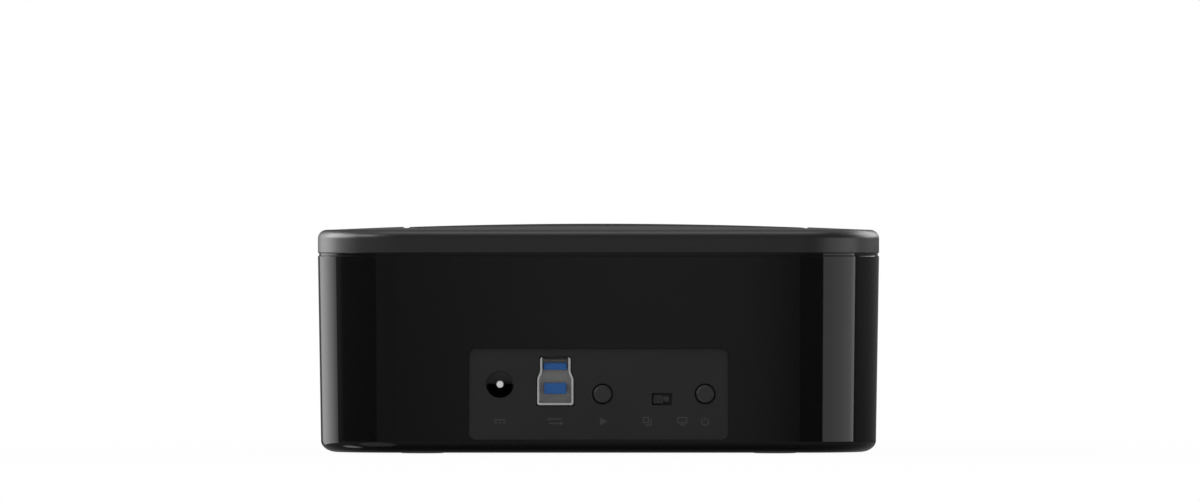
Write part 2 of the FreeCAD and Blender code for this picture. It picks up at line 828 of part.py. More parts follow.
slide_z = board_top + slide_rise
slide_travel = slide_window_width - 2 * knob_end_gap - knob_width


def mode_switch_body():
    body_y = (flange_front - slide_body_depth, flange_front)
    body = block(around(slide_x, slide_body_width), body_y, (board_top, board_top + slide_body_height))
    channel_x = around(slide_x, knob_neck + slide_travel + 2 * slide_clearance)
    channel_z = around(slide_z, knob_neck + 2 * slide_clearance)
    return body.cut(block(channel_x, (flange_front - slide_channel_depth, flange_front + over), channel_z))


def mode_switch_knob():
    x = slide_x + slide_travel / 2
    front = panel_face - knob_set_back
    back = flange_front + slide_clearance
    knob = block(around(x, knob_width), (back, front), around(slide_z, knob_height))
    neck_y = (flange_front - slide_channel_depth + slide_clearance, back + bite)
    knob = knob.fuse(block(around(x, knob_neck), neck_y, around(slide_z, knob_neck)))
    for rib_x in in_a_row(knob_rib_count, knob_rib_pitch, x):
        groove = (around(rib_x, knob_rib_width), (front - knob_rib_depth, front + over))
        knob = knob.cut(block(*groove, around(slide_z, knob_height + over)))
    return knob.removeSplitter()


def light_pipe():
    z = board_top + indicator_rise
    face = draft_at(z) - case_depth / 2
    bar_front = housing_wall + light_bar_gap - case_depth / 2
    bar_back = bar_front + light_bar_depth
    places = in_a_row(indicator_count, indicator_pitch)
    bar_x = (places[0] - light_bar_margin, places[-1] + light_bar_margin)
    bar = block(bar_x, (bar_front, bar_back), around(z, light_bar_height))
    for x in places:
        pip_y = (face + pip_clearance, board_front_y - pip_clearance)
        bar = bar.fuse(block(around(x, pip_width), pip_y, around(z, pip_height)))
    return bar.removeSplitter()


def indicator_leds():
    width, depth, height = led_size
    y = (board_front_y, board_front_y + depth)
    places = in_a_row(indicator_count, indicator_pitch)
    return Part.makeCompound([block(around(x, width), y, (board_top, board_top + height)) for x in places])


def chip(x, y, size):
    width, depth, height = size
    top = board_top + height
    body = block(around(x, width), around(y, depth), (board_top + chip_stand, top))
    body = body.makeChamfer(chip_chamfer, edges_where(body, lambda box: box.ZMin > top - hair))
    leads_z = (board_top, board_top + height * lead_share)
    return body.fuse(block(around(x, width + 2 * lead_reach), around(y, depth - 2 * lead_reach), leads_z))


def crystal(x, y):
    length, width, height = crystal_size
    return slab(around(x, length), around(y, width), width / 2 - hair, (board_top, board_top + height))


def canned_part(x, y, base, radius, height):
    width, depth, base_height = base
    foot = block(around(x, width), around(y, depth), (board_top, board_top + base_height))
    return foot.fuse(rod_z(x, y, radius, (board_top + base_height, board_top + height)))


front_part_y = board_front_y + front_part_inset
pieces = {
    "top_cover": top_cover(),
    "slot_bezel": slot_bezel(),
    "main_housing": main_housing(),
    "base_plate": base_plate(),
    "rear_io_plate": rear_io_plate(),
    "case_screws": case_screws(),
    "board_screws": board_screws(),
    "main_board": main_board(),
    "usb_shell": usb_shell(),
    "usb_insulator": usb_insulator(),
    "usb_contacts": usb_contacts(),
    "dc_inlet_body": dc_inlet_body(),
    "dc_inlet_pin": dc_inlet_pin(),
    "dc_inlet_leaf": dc_inlet_leaf(),
    "mode_switch_body": mode_switch_body(),
    "mode_switch_knob": mode_switch_knob(),
    "light_pipe": light_pipe(),
    "indicator_leds": indicator_leds(),
    "bridge_controller": chip(controller_x, front_part_y, controller_size),
    "firmware_chip": chip(firmware_x, front_part_y, firmware_size),
    "crystal": crystal(controller_x, board_front_y + crystal_inset),
}
for name, x in (("start", start_x), ("power", power_x)):
    pieces[name + "_button"] = button_cap(x)
    pieces[name + "_plunger"] = tact_plunger(x)
    pieces[name + "_switch_body"] = tact_switch(x)
for (x, y), name in zip(four(foot_x, foot_y), ("front_left", "rear_left", "front_right", "rear_right")):
    pieces["foot_" + name] = rubber_foot(x, y)
for bay, back in bays.items():
    pieces["drive_well_" + bay] = drive_well(back)
    pieces["drive_socket_" + bay] = drive_socket(back)
    pieces["socket_contacts_" + bay] = socket_contacts(back)
    pieces["hinge_pin_" + bay] = hinge_pin(back)
    for width, span in flap_spans().items():
        pieces["flap_%s_%s" % (width, bay)] = dust_flap(back, span)
        pieces["flap_spring_%s_%s" % (width, bay)] = flap_spring(back, span)
back_part_y = board_back_y - back_part_inset
inductor = (inductor_base, inductor_radius, inductor_height)
for number, x in enumerate((power_x - 2 * part_step, power_x - part_step), 1):
    pieces["power_inductor_%d" % number] = canned_part(x, back_part_y, *inductor)
capacitor = (capacitor_base, capacitor_radius, capacitor_height)
beside_inlet = inlet_x + part_inlet_gap
for number, x in enumerate((beside_inlet, beside_inlet + part_step, start_x - part_gap), 1):
    pieces["capacitor_%d" % number] = canned_part(x, back_part_y, *capacitor)

os.makedirs("parts", exist_ok=True)
for name, shape in pieces.items():
    shape.exportStep("parts/%s.step" % name)
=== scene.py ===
import json
import math

import bmesh
import bpy
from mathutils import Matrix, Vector

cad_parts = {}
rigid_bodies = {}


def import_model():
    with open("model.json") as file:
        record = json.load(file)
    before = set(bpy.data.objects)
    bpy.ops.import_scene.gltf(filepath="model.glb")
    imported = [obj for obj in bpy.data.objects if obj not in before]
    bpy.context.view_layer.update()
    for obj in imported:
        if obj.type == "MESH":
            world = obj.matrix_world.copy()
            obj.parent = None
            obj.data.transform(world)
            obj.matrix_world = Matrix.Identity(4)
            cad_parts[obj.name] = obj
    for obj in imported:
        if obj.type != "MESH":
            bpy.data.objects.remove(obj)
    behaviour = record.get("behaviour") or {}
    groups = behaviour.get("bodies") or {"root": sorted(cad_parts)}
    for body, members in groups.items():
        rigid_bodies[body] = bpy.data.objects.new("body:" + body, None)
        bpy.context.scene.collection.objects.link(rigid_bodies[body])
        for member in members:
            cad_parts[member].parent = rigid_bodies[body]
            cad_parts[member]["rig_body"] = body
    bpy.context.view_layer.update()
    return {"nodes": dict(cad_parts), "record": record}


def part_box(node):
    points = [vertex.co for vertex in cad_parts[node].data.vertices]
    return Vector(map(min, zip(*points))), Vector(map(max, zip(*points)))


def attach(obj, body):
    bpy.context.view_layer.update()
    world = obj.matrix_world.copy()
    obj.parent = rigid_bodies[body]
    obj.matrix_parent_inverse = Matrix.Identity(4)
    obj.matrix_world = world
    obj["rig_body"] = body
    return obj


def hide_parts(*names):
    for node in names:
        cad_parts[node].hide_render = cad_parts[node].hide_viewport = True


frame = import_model()
mm = 0.001
# lengths under tiny count as none, and a cutter reaches past what it cuts by spare
tiny = 1e-7
mergeDistance = 1e-6
spare = 1 * mm
print("frame loaded,", len(frame["nodes"]), "nodes")


# Modelling helpers. An outline is a rounded rectangle: middle x, middle y, half x, half y, corner radius.

def deselectAll():
    if bpy.context.object and bpy.context.object.mode != "OBJECT":
        bpy.ops.object.mode_set(mode="OBJECT")
    bpy.ops.object.select_all(action="DESELECT")


def selectOnly(*pieces):
    deselectAll()
    for piece in pieces:
        piece.select_set(True)
    bpy.context.view_layer.objects.active = pieces[0]


def applyPlacement():
    bpy.ops.object.transform_apply(location=True, rotation=True, scale=True)


def selectAll():
    bpy.ops.mesh.select_all(action="SELECT")


def startEdit():
    bpy.ops.object.mode_set(mode="EDIT")
    selectAll()


def finishEdit():
    selectAll()
    bpy.ops.mesh.normals_make_consistent(inside=False)
    bpy.ops.object.mode_set(mode="OBJECT")


def drawOut(distance):
    # draws what is selected out along Y
    bpy.ops.mesh.extrude_region_move(TRANSFORM_OT_translate={"value": (0, distance, 0)})


def circle(x, y, radius):
    return (x, y, radius, radius, radius)


def grown(outline, amount):
    x, y, halfX, halfY, radius = outline
    return (x, y, halfX + amount, halfY + amount, radius + amount)


def between(start, end, share):
    return tuple(a + (b - a) * share for a, b in zip(start, end))


def spread(count, pitch, middle=0.0):
    # places one pitch apart, even about the middle
    return [middle + (number - (count - 1) / 2) * pitch for number in range(count)]


def movedPoint(co, old, new):
    shares = []
    for axis in (0, 1):
        core = old[2 + axis] - old[4]
        away = co[axis] - old[axis]
        shares.append(max(-1.0, min(1.0, away / core)) if core > tiny else 0.0)
    foot = Vector([old[a] + shares[a] * (old[2 + a] - old[4]) for a in (0, 1)])
    outward = (Vector((co[0], co[1])) - foot).normalized()
    newFoot = Vector([new[a] + shares[a] * (new[2 + a] - new[4]) for a in (0, 1)])
    return newFoot + outward * new[4]


def startOutline(name, outline, z, cornerSteps, sideCuts):
    x, y, halfX, halfY, radius = outline
    deselectAll()
    isRound = halfX - radius < tiny
    if isRound:
        bpy.ops.mesh.primitive_circle_add(vertices=4 * cornerSteps, radius=radius, fill_type="NGON",
                                          location=(x, y, z))
    else:
        bpy.ops.mesh.primitive_plane_add(size=1, location=(x, y, z))
        bpy.context.object.scale = (2 * halfX, 2 * halfY, 1)
    piece = bpy.context.object
    piece.name = piece.data.name = name
    applyPlacement()
    bpy.ops.object.mode_set(mode="EDIT")
    if not isRound:
        selectAll()
        bpy.ops.mesh.bevel(offset=radius, segments=cornerSteps, affect="VERTICES", profile=0.5)
    if sideCuts:
        mesh = bmesh.from_edit_mesh(piece.data)
        longest = sorted(edge.calc_length() for edge in mesh.edges)[-4]
        bpy.ops.mesh.select_mode(type="EDGE")
        for edge in mesh.edges:
            edge.select = edge.calc_length() > longest * 0.999
        bmesh.update_edit_mesh(piece.data)
        bpy.ops.mesh.subdivide(number_cuts=sideCuts)
        bpy.ops.mesh.select_mode(type="FACE")
    selectAll()
    return piece


def sweepRings(name, rings, cornerSteps=12, sideCuts=0, joinEnds=False, lift=None):
    # rings: outline, z and how much of the dome's rise it takes
    rings = [ring if len(ring) == 3 else ring + (0.0,) for ring in rings]
    piece = startOutline(name, rings[0][0], rings[0][1], cornerSteps, sideCuts)
    for old, new in zip(rings, rings[1:]):
        bpy.ops.mesh.extrude_region_move()
        mesh = bmesh.from_edit_mesh(piece.data)
        for vertex in mesh.verts:
            if vertex.select:
                x, y = movedPoint(vertex.co, old[0], new[0])
                rise = lift(x, y) * new[2] if lift else 0.0
                vertex.co = (x, y, new[1] + rise)
        bmesh.update_edit_mesh(piece.data)
    if joinEnds:
        mesh = bmesh.from_edit_mesh(piece.data)
        most = max(len(face.verts) for face in mesh.faces)
        for face in mesh.faces:
            face.select = len(face.verts) == most
        bmesh.update_edit_mesh(piece.data)
        bpy.ops.mesh.delete(type="ONLY_FACE")
        selectAll()
        bpy.ops.mesh.remove_doubles(threshold=mergeDistance)
    finishEdit()
    return piece


def quarter(steps):
    return [math.radians(90) * step / steps for step in range(1, steps + 1)]


def roundedEdge(steps, width, height=None):
    # how far in and how far along the edge is, step by step over a quarter turn
    height = height or width
    return [(width * (1 - math.cos(turn)), height * math.sin(turn)) for turn in quarter(steps)]


def applyModifier(piece, kind, **settings):
    selectOnly(piece)
    modifier = piece.modifiers.new(kind.lower(), kind)
    for key, value in settings.items():
        setattr(modifier, key, value)
    bpy.ops.object.modifier_apply(modifier=modifier.name)


def cutAway(piece, *cutters):
    for cutter in cutters:
        applyModifier(piece, "BOOLEAN", operation="DIFFERENCE", solver="EXACT", object=cutter)
        bpy.data.objects.remove(cutter)
    return piece


def softEdges(piece, width, segments=2, angle=35):
    applyModifier(piece, "BEVEL", width=width, segments=segments, limit_method="ANGLE",
                  angle_limit=math.radians(angle), harden_normals=False)
    return piece


def smoothShade(piece, angle=35):
    selectOnly(piece)
    bpy.ops.object.shade_smooth_by_angle(angle=math.radians(angle))
    applyModifier(piece, "WEIGHTED_NORMAL", keep_sharp=True)
    return piece


def turnToBack(piece):
    # what was modelled upwards faces +Y, and its -Y side is up
    selectOnly(piece)
    piece.rotation_euler = (math.radians(-90), 0, 0)
    applyPlacement()
    return piece


def backOutline(x, z, halfX, halfZ, radius):
    return (x, -z, halfX, halfZ, radius)


def backCircle(x, z, radius):
    return circle(x, -z, radius)


def backCutter(name, outline, yLow, yHigh, cornerSteps):
    return turnToBack(sweepRings(name, [(outline, yLow), (outline, yHigh)], cornerSteps=cornerSteps))


def joinPieces(name, pieces):
    selectOnly(*pieces)
    bpy.ops.object.join()
    joined = bpy.context.object
    joined.name = joined.data.name = name
    return joined


def paint(piece, material):
    piece.data.materials.clear()
    piece.data.materials.append(material)


def standsFor(piece, node, material):
    paint(piece, material)
    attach(piece, frame["nodes"][node]["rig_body"])
    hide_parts(node)


slotOf = {part["node"]: part["material_slot"] for part in frame["record"]["subparts"]}


# Casing, cover and slot bezel

caseLow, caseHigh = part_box("main_housing")
bezelLow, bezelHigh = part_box("slot_bezel")

casing = {
    "halfX": caseHigh.x,
    "halfY": caseHigh.y,
    "cornerRadius": 22 * mm,
    "draft": 0.9 * mm,
    "underside": caseLow.z,
    "housingTop": caseHigh.z - 0.6 * mm,
    "seamTop": caseHigh.z,
    "rimChamfer": 0.25 * mm,
    "seamDepth": 0.32 * mm,
    "wall": 2.4 * mm,
    "floorTop": caseLow.z + 3.6 * mm,
    "lowerEdgeWidth": 4.2 * mm,
    "lowerEdgeHeight": 3.1 * mm,
    "plateInset": 7.5 * mm,
    "plateLedge": 2.0 * mm,
    "plateDepth": 1.8 * mm,
    "cornerSteps": 36,
    "edgeSteps": 14,
}

cover = {
    "rim": caseHigh.z + 6.5 * mm,
    "wall": 3.6 * mm,
    "thickness": 2.2 * mm,
    "edgeRadius": 2.5 * mm,
    "edgeDrop": 0.08 * mm,
    "lowerChamfer": 0.25 * mm,
    "tongueInset": 2.55 * mm,
    "tongueLow": caseHigh.z - 2.5 * mm,
    "groove": 0.35 * mm,
    "wallLift": 0.6,
    "sideCuts": 20,
    "crownRings": 12,
}

bezel = {
    "flange": 2.0 * mm,
    "flangeTop": bezelLow.z + 1.6 * mm,
    "radius": 3.0 * mm,
    "gap": 0.15 * mm,
    "sink": 0.1 * mm,
    "slotMiddleX": -2.0 * mm,
    "slotHalfX": 52.5 * mm,
    "slotHalfY": 14.0 * mm,
    "slotRadius": 1.5 * mm,
    "slotSideMargin": 4.4 * mm,
    "mouthRadius": 1.2 * mm,
    "mouthSteps": 8,
    "cutBelow": 2.0 * mm,
    "cutAbove": 5.0 * mm,
    "domeCuts": 28,
    "liftFrom": 0.2 * mm,
}
domeRise = bezelHigh.z + bezel["sink"] - cover["rim"] + cover["edgeDrop"]


def draftAt(z):
    height = casing["housingTop"] - casing["underside"]
    return casing["draft"] * max(0.0, casing["housingTop"] - z) / height


def casingRing(inset, z, lift=0.0):
    inset += draftAt(z)
    outline = (0.0, 0.0, casing["halfX"] - inset, casing["halfY"] - inset, casing["cornerRadius"] - inset)
    return (outline, z, lift)


def domeLift(x, y):
    shareX = x / (casing["halfX"] - cover["edgeRadius"])
    shareY = y / (casing["halfY"] - cover["edgeRadius"])
    return domeRise * max(0.0, 1 - shareX ** 2) * max(0.0, 1 - shareY ** 2) - cover["edgeDrop"]


raised = ((bezelLow.x + bezelHigh.x) / 2, (bezelLow.y + bezelHigh.y) / 2,
          (bezelHigh.x - bezelLow.x) / 2 - bezel["flange"], (bezelHigh.y - bezelLow.y) / 2 - bezel["flange"],
          bezel["radius"])


def makeHousing():
    bend = casing["underside"] + casing["lowerEdgeHeight"]
    rings = [
        casingRing(casing["rimChamfer"], casing["housingTop"]),
        casingRing(0, casing["housingTop"] - casing["rimChamfer"]),
        casingRing(0, bend),
    ]
    for inset, rise in roundedEdge(casing["edgeSteps"], casing["lowerEdgeWidth"], casing["lowerEdgeHeight"]):
        rings.append(casingRing(inset, bend - rise))
    seat = casing["underside"] + casing["plateDepth"]
    inner = casing["plateInset"] + casing["plateLedge"]
    rings += [
        casingRing(casing["plateInset"], casing["underside"]),
        casingRing(casing["plateInset"], seat),
        casingRing(inner, seat),
        casingRing(inner, casing["floorTop"]),
        casingRing(casing["wall"], casing["floorTop"]),
        casingRing(casing["wall"], casing["seamTop"]),
        casingRing(casing["seamDepth"], casing["seamTop"]),
        casingRing(casing["seamDepth"], casing["housingTop"]),
        casingRing(casing["rimChamfer"], casing["housingTop"]),
    ]
    return sweepRings("housingShell", rings, cornerSteps=casing["cornerSteps"], joinEnds=True)


def makeCover():
    bottom = casing["seamTop"]
    bend = cover["rim"] - cover["edgeRadius"]
    rings = [
        casingRing(cover["lowerChamfer"], bottom),
        casingRing(0, bottom + cover["lowerChamfer"]),
        casingRing(0, bend),
    ]
    for turn in quarter(casing["edgeSteps"]):
        inset = cover["edgeRadius"] * (1 - math.cos(turn))
        rings.append(casingRing(inset, bend + cover["edgeRadius"] * math.sin(turn), math.sin(turn) ** 3))
    edge = rings[-1][0]
    opening = grown(raised, bezel["gap"])
    mouth = grown(opening, cover["groove"])
    for number in range(1, cover["crownRings"] + 1):
        rings.append((between(edge, mouth, number / cover["crownRings"]), cover["rim"], 1.0))
    under = cover["rim"] - cover["thickness"]
    wallTop = casingRing(cover["wall"], under)[0]
    rings += [
        (opening, cover["rim"] - cover["groove"], 1.0),
        (opening, under, 1.0),
        (wallTop, under, cover["wallLift"]),
        casingRing(cover["wall"], cover["tongueLow"]),
        casingRing(cover["tongueInset"], cover["tongueLow"]),
        casingRing(cover["tongueInset"], bottom),
        casingRing(cover["lowerChamfer"], bottom),
    ]
    return sweepRings("coverShell", rings, cornerSteps=casing["cornerSteps"], sideCuts=cover["sideCuts"],
                      joinEnds=True, lift=domeLift)


def slotCutter(middleY):
    slot = (bezel["slotMiddleX"], middleY, bezel["slotHalfX"], bezel["slotHalfY"], bezel["slotRadius"])
    top = cover["rim"] - bezel["sink"]
    radius = bezel["mouthRadius"]
    rings = [(slot, bezelLow.z - bezel["cutBelow"]), (slot, top - radius)]
    for inset, rise in roundedEdge(bezel["mouthSteps"], radius):
        rings.append((grown(slot, inset), top - radius + rise))
    rings.append((grown(slot, radius), top + bezel["cutAbove"]))
    return sweepRings("slotCutter", rings, cornerSteps=10)


def makeBezel():
    top = cover["rim"] - bezel["sink"]
    flange = grown(raised, bezel["flange"])
    rings = [
        (flange, bezelLow.z),
        (flange, bezel["flangeTop"]),
        (raised, bezel["flangeTop"]),
        (raised, top - cover["groove"]),
        (grown(raised, -cover["groove"]), top),
    ]
    piece = sweepRings("slotBezelTop", rings, cornerSteps=10)
    backMiddle = bezelHigh.y - bezel["flange"] - bezel["slotSideMargin"] - bezel["slotHalfY"]
    frontMiddle = bezelLow.y + bezel["flange"] + bezel["slotSideMargin"] + bezel["slotHalfY"]
    cutAway(piece, slotCutter(backMiddle), slotCutter(frontMiddle))
    selectOnly(piece)
    bpy.ops.object.mode_set(mode="EDIT")
    for number in range(1, bezel["domeCuts"]):
        x = bezelLow.x + (bezelHigh.x - bezelLow.x) * number / bezel["domeCuts"]
        selectAll()
        bpy.ops.mesh.bisect(plane_co=(x, 0, 0), plane_no=(1, 0, 0))
    bpy.ops.object.mode_set(mode="OBJECT")
    low = bezel["flangeTop"] + bezel["liftFrom"]
    for vertex in piece.data.vertices:
        share = max(0.0, (vertex.co.z - low) / (top - low))
        vertex.co.z += domeLift(vertex.co.x, vertex.co.y) * share
    return piece


print("modelling the casing")
housing = makeHousing()
coverShell = makeCover()
slotBezel = makeBezel()

# Rear panel and what stands in it

panelLow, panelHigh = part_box("rear_io_plate")
panelInset = 1.68 * mm
panel = {
    "radius": 2.0 * mm,
    "gap": 0.03 * mm,
    "lowZ": caseLow.z + 3.5 * mm,
    "highZ": panelHigh.z - panelInset,
    "halfX": panelHigh.x - panelInset,
    "edge": 0.08 * mm,
    "holeEdge": 0.12 * mm,
    "inletHole": 3.7 * mm,
    "usbGap": 0.2 * mm,
    "bedDepth": 3.0 * mm,
}
panelWindow = backOutline(0, (panel["lowZ"] + panel["highZ"]) / 2, panel["halfX"],
                          (panel["highZ"] - panel["lowZ"]) / 2, panel["radius"])
usbLow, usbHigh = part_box("usb_shell")
usbX = (usbLow.x + usbHigh.x) / 2
usb = {
    "wall": 0.55 * mm,
    "half": 4.9 * mm,
    "neck": 4.1 * mm,
    "shoulderLow": 7.2 * mm,
    "shoulderHigh": 9.0 * mm,
    "corner": 0.55 * mm,
    "insideCorner": 0.35 * mm,
    "cornerSteps": 5,
    "edge": 0.14 * mm,
    "topSetBack": 8.0 * mm,
    "screenDepth": 4.6 * mm,
    "screenThickness": 0.3 * mm,
    "screenGap": 0.02 * mm,
}
pinLow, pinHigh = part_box("dc_inlet_pin")
inletLow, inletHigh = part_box("dc_inlet_body")
inletX = (pinLow.x + pinHigh.x) / 2
inletZ = (pinLow.z + pinHigh.z) / 2
inlet = {
    "bore": 3.2 * mm,
    "snout": 4.5 * mm,
    "snoutLength": 4.0 * mm,
    "boreDepth": 10.0 * mm,
    "stepDepth": 0.9 * mm,
    "pinTip": 0.45 * mm,
    # painted light: a pale half disc deep in the bore and a pale half ring at its face, in its upper half
    # only
    "paintedDiscDepth": 9.0 * mm,
    "paintedDiscFoot": 0.1 * mm,
    "paintedDiscGap": 0.01 * mm,
    "faceRim": 0.08 * mm,
    "faceGap": 0.02 * mm,
    "pinHole": 1.15 * mm,
    "leafWall": 1.0 * mm,
    "blockEdge": 0.15 * mm,
}
knobLow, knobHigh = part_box("mode_switch_knob")
slideLow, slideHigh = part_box("mode_switch_body")
slide = {
    "halfX": 2.7 * mm,
    "halfZ": 1.6 * mm,
    "corner": 0.15 * mm,
    "knobEdge": 0.15 * mm,
    "ribs": 3,
    "ribPitch": 0.62 * mm,
    "ribWidth": 0.26 * mm,
    "ribDepth": 0.22 * mm,
    "neckLength": 1.2 * mm,
    "stemHalf": 0.7 * mm,
    "stemLength": 1.5 * mm,
    "shroudHalfX": 3.4 * mm,
    "shroudBelow": 1.85 * mm,
    "shroudAbove": 2.1 * mm,
    "shroudGap": 0.02 * mm,
    "shroudFront": 0.16 * mm,
    "neckRunEnd": 2.5 * mm,
    "neckRunHalf": 0.75 * mm,
}
stroke = 0.3
prints = {
    "stroke": stroke * mm,
    "thickness": 0.02 * mm,
    "z": 8.9 * mm,
    "arcSteps": 28,
    "copyStep": 4.0 * mm,
    "computerStep": 5.5 * mm,
    # bars and frames of each sign, in mm: x and z from its middle, width and height
    "bars": {
        "current": ((0, 0.4, 3.1, stroke), (-1.2, -0.4, 0.7, stroke), (0, -0.4, 0.7, stroke),
                    (1.2, -0.4, 0.7, stroke)),
        "data": ((0.35, -0.6, 3.0, stroke), (-0.35, 0.6, 3.0, stroke)),
        "copy": ((-0.35, -1.05, 1.7, stroke), (-1.05, -0.2, stroke, 1.4)),
        "computer": ((0, -0.75, 0.35, 0.4), (0, -1.0, 1.5, 0.8 * stroke)),
        "power": ((0, 0.7, stroke, 1.1),),
    },
    "frames": {
        "copy": ((0.35, 0.35, 1.7, 1.7),),
        "computer": ((0, 0.3, 2.7, 1.7),),
    },
    # triangles, in mm: x, z, radius and the side of X that they point to
    "triangles": {
        "data": ((-1.6, -0.6, 0.62, -1), (1.6, 0.6, 0.62, 1)),
        "start": ((0, 0, 1.25, -1),),
    },
    "powerRing": {"z": -0.1 * mm, "radius": 0.95 * mm, "start": 125, "turn": 290},
}
buttons = {
    "radius": 2.45 * mm,
    "gap": 0.35 * mm,
    "edge": 0.7 * mm,
    "flangeRadius": 3.6 * mm,
    "flangeThickness": 1.0 * mm,
    "stemRadius": 1.5 * mm,
    "stemLength": 0.6 * mm,
    "dish": 0.06 * mm,
    "dishRings": (0.75, 0.5, 0.25, 0.05),
}


def middleOf(node):
    low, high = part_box(node)
    return (low + high) / 2


def roundCutter(x, z, radius, yLow, yHigh, steps=16):
    return backCutter("roundCutter", backCircle(x, z, radius), yLow, yHigh, steps)


def usbOutlinePoints(grow):
    half = usb["half"] + grow
    neck = usb["neck"] + grow
    slope = math.atan2(half - neck, usb["shoulderHigh"] - usb["shoulderLow"])
    shift = grow * math.tan(slope / 2)
    low = usbLow.z - grow
    shoulder = usbLow.z + usb["shoulderLow"] + shift
    top = usbLow.z + usb["shoulderHigh"] + shift
    return [(half, low), (half, shoulder), (neck, top), (neck, usbHigh.z + grow),
            (-neck, usbHigh.z + grow), (-neck, top), (-half, shoulder), (-half, low)]


def usbBlock(grow, yLow, yHigh, corner=0.0):
    # a plane shaped to the outline with the sloped shoulders, and drawn out along Y
    deselectAll()
    bpy.ops.mesh.primitive_circle_add(vertices=8, radius=1, fill_type="NGON", location=(0, 0, 0))
    piece = bpy.context.object
    for vertex, (x, z) in zip(piece.data.vertices, usbOutlinePoints(grow)):
        vertex.co = (usbX + x, yLow, z)
    startEdit()
    if corner:
        bpy.ops.mesh.bevel(offset=corner, segments=usb["cornerSteps"], affect="VERTICES")
        selectAll()
    drawOut(yHigh - yLow)
    finishEdit()
    return piece


def makePanel():
    front = grown(panelWindow, -panel["gap"])
    edge = panelHigh.y - panel["edge"]
    rings = [(front, panelLow.y), (front, edge)]
    for inset, rise in roundedEdge(4, panel["edge"]):
        rings.append((grown(front, -inset), edge + rise))
    piece = turnToBack(sweepRings("rearPanel", rings, cornerSteps=12))
    low, high = panelLow.y - spare, panelHigh.y + spare
    window = backOutline(middleOf("mode_switch_body").x, middleOf("mode_switch_knob").z,
                         slide["halfX"], slide["halfZ"], slide["corner"])
    cutters = [
        usbBlock(panel["usbGap"], low, high),
        roundCutter(inletX, inletZ, panel["inletHole"], low, high, steps=24),
        backCutter("slideCutter", window, low, high, 3),
    ]
    for node in ("start_button", "power_button"):
        place = middleOf(node)
        cutters.append(roundCutter(place.x, place.z, buttons["radius"] + buttons["gap"], low, high))
    cutAway(piece, *cutters)
    return softEdges(piece, panel["holeEdge"], segments=2, angle=50)


def makeCap(node):
    low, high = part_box(node)
    x, z = (low.x + high.x) / 2, (low.z + high.z) / 2
    stemTop = low.y + buttons["stemLength"]
    flangeFront = stemTop + buttons["flangeThickness"]
    edge = high.y - buttons["edge"]
    cap = backCircle(x, z, buttons["radius"])
    flange = backCircle(x, z, buttons["flangeRadius"])
    stem = backCircle(x, z, buttons["stemRadius"])
    rings = [(stem, low.y), (stem, stemTop), (flange, stemTop), (flange, flangeFront),
             (cap, flangeFront), (cap, edge)]
    for inset, rise in roundedEdge(10, buttons["edge"]):
        rings.append((grown(cap, -inset), edge + rise))
    flat = buttons["radius"] - buttons["edge"]
    for share in buttons["dishRings"]:
        dish = buttons["dish"] * (1 - share ** 2)
        rings.append((grown(cap, -buttons["edge"] - flat * (1 - share)), high.y - dish))
    return turnToBack(sweepRings(node + "_cap", rings, cornerSteps=14))


def cube(name, low, high):
    deselectAll()
    middle = [(a + b) / 2 for a, b in zip(low, high)]
    bpy.ops.mesh.primitive_cube_add(size=1, location=middle)
    piece = bpy.context.object
    piece.name = piece.data.name = name
    piece.scale = [b - a for a, b in zip(low, high)]
    applyPlacement()
    return piece


def makeUsbShell():
    shell = usbBlock(0, usbLow.y, usbHigh.y, usb["corner"])
    shell.name = shell.data.name = "usbShellDrawn"
    inside = usbBlock(-usb["wall"], usbLow.y + usb["wall"], usbHigh.y + spare, usb["insideCorner"])
    reach = usb["neck"] - usb["wall"]
    notch = cube("usbNotch", (usbX - reach, usbHigh.y - usb["topSetBack"], usbHigh.z - 2 * usb["wall"]),
                 (usbX + reach, usbHigh.y + spare, usbHigh.z + spare))
    return softEdges(cutAway(shell, inside, notch), usb["edge"], segments=3, angle=50)


def makeUsbScreen():
    back = usbHigh.y - usb["screenDepth"]
    piece = usbBlock(-usb["wall"] - usb["screenGap"], back - usb["screenThickness"], back)
    piece.name = piece.data.name = "usbScreen"
    return piece


def lowerHalf(yLow, yHigh):
    # a cutter that takes away the lower half of what is round in the inlet
    reach = 2 * inlet["snout"]
    return cube("lowerHalf", (inletX - reach, yLow, inletZ - reach), (inletX + reach, yHigh, inletZ))


def makeInletBody():
    # its near-black finish also stands in for painted shade on the lower half
    # the snout with its bore; the lower half of its face steps back to the leaf contact
    snout = backCircle(inletX, inletZ, inlet["snout"])
    bore = backCircle(inletX, inletZ, inlet["bore"])
    front = inletHigh.y
    root = front - inlet["snoutLength"]
    rings = [(snout, root), (snout, front), (bore, front), (bore, root), (snout, root)]
    body = turnToBack(sweepRings("dcInletBody", rings, cornerSteps=16, joinEnds=True))
    cutAway(body, lowerHalf(front - inlet["stepDepth"], front + spare))
    block = cube("inletBlock", inletLow, (inletHigh.x, root, inletHigh.z))
    cutAway(block, roundCutter(inletX, inletZ, inlet["bore"], front - inlet["boreDepth"], front + spare))
    leafBay = cube("leafBay",
                   (inletX - inlet["bore"], inletLow.y + inlet["leafWall"], inletZ - inlet["bore"]),
                   (inletX + inlet["bore"], root + spare, inletZ))
    cutAway(block, leafBay)
    return joinPieces("dcInletBody", [body, softEdges(block, inlet["blockEdge"])])


def makeUpperRing(name, inner, outer, low, high):
    # the upper half of a flat ring in the inlet; its pale grey is painted light on the upper half of the
    # bore
    corners = ((outer, low), (outer, high), (inner, high), (inner, low), (outer, low))
    rings = [(backCircle(inletX, inletZ, radius), y) for radius, y in corners]
    piece = turnToBack(sweepRings(name, rings, cornerSteps=16, joinEnds=True))
    return cutAway(piece, lowerHalf(low - spare, high + spare))


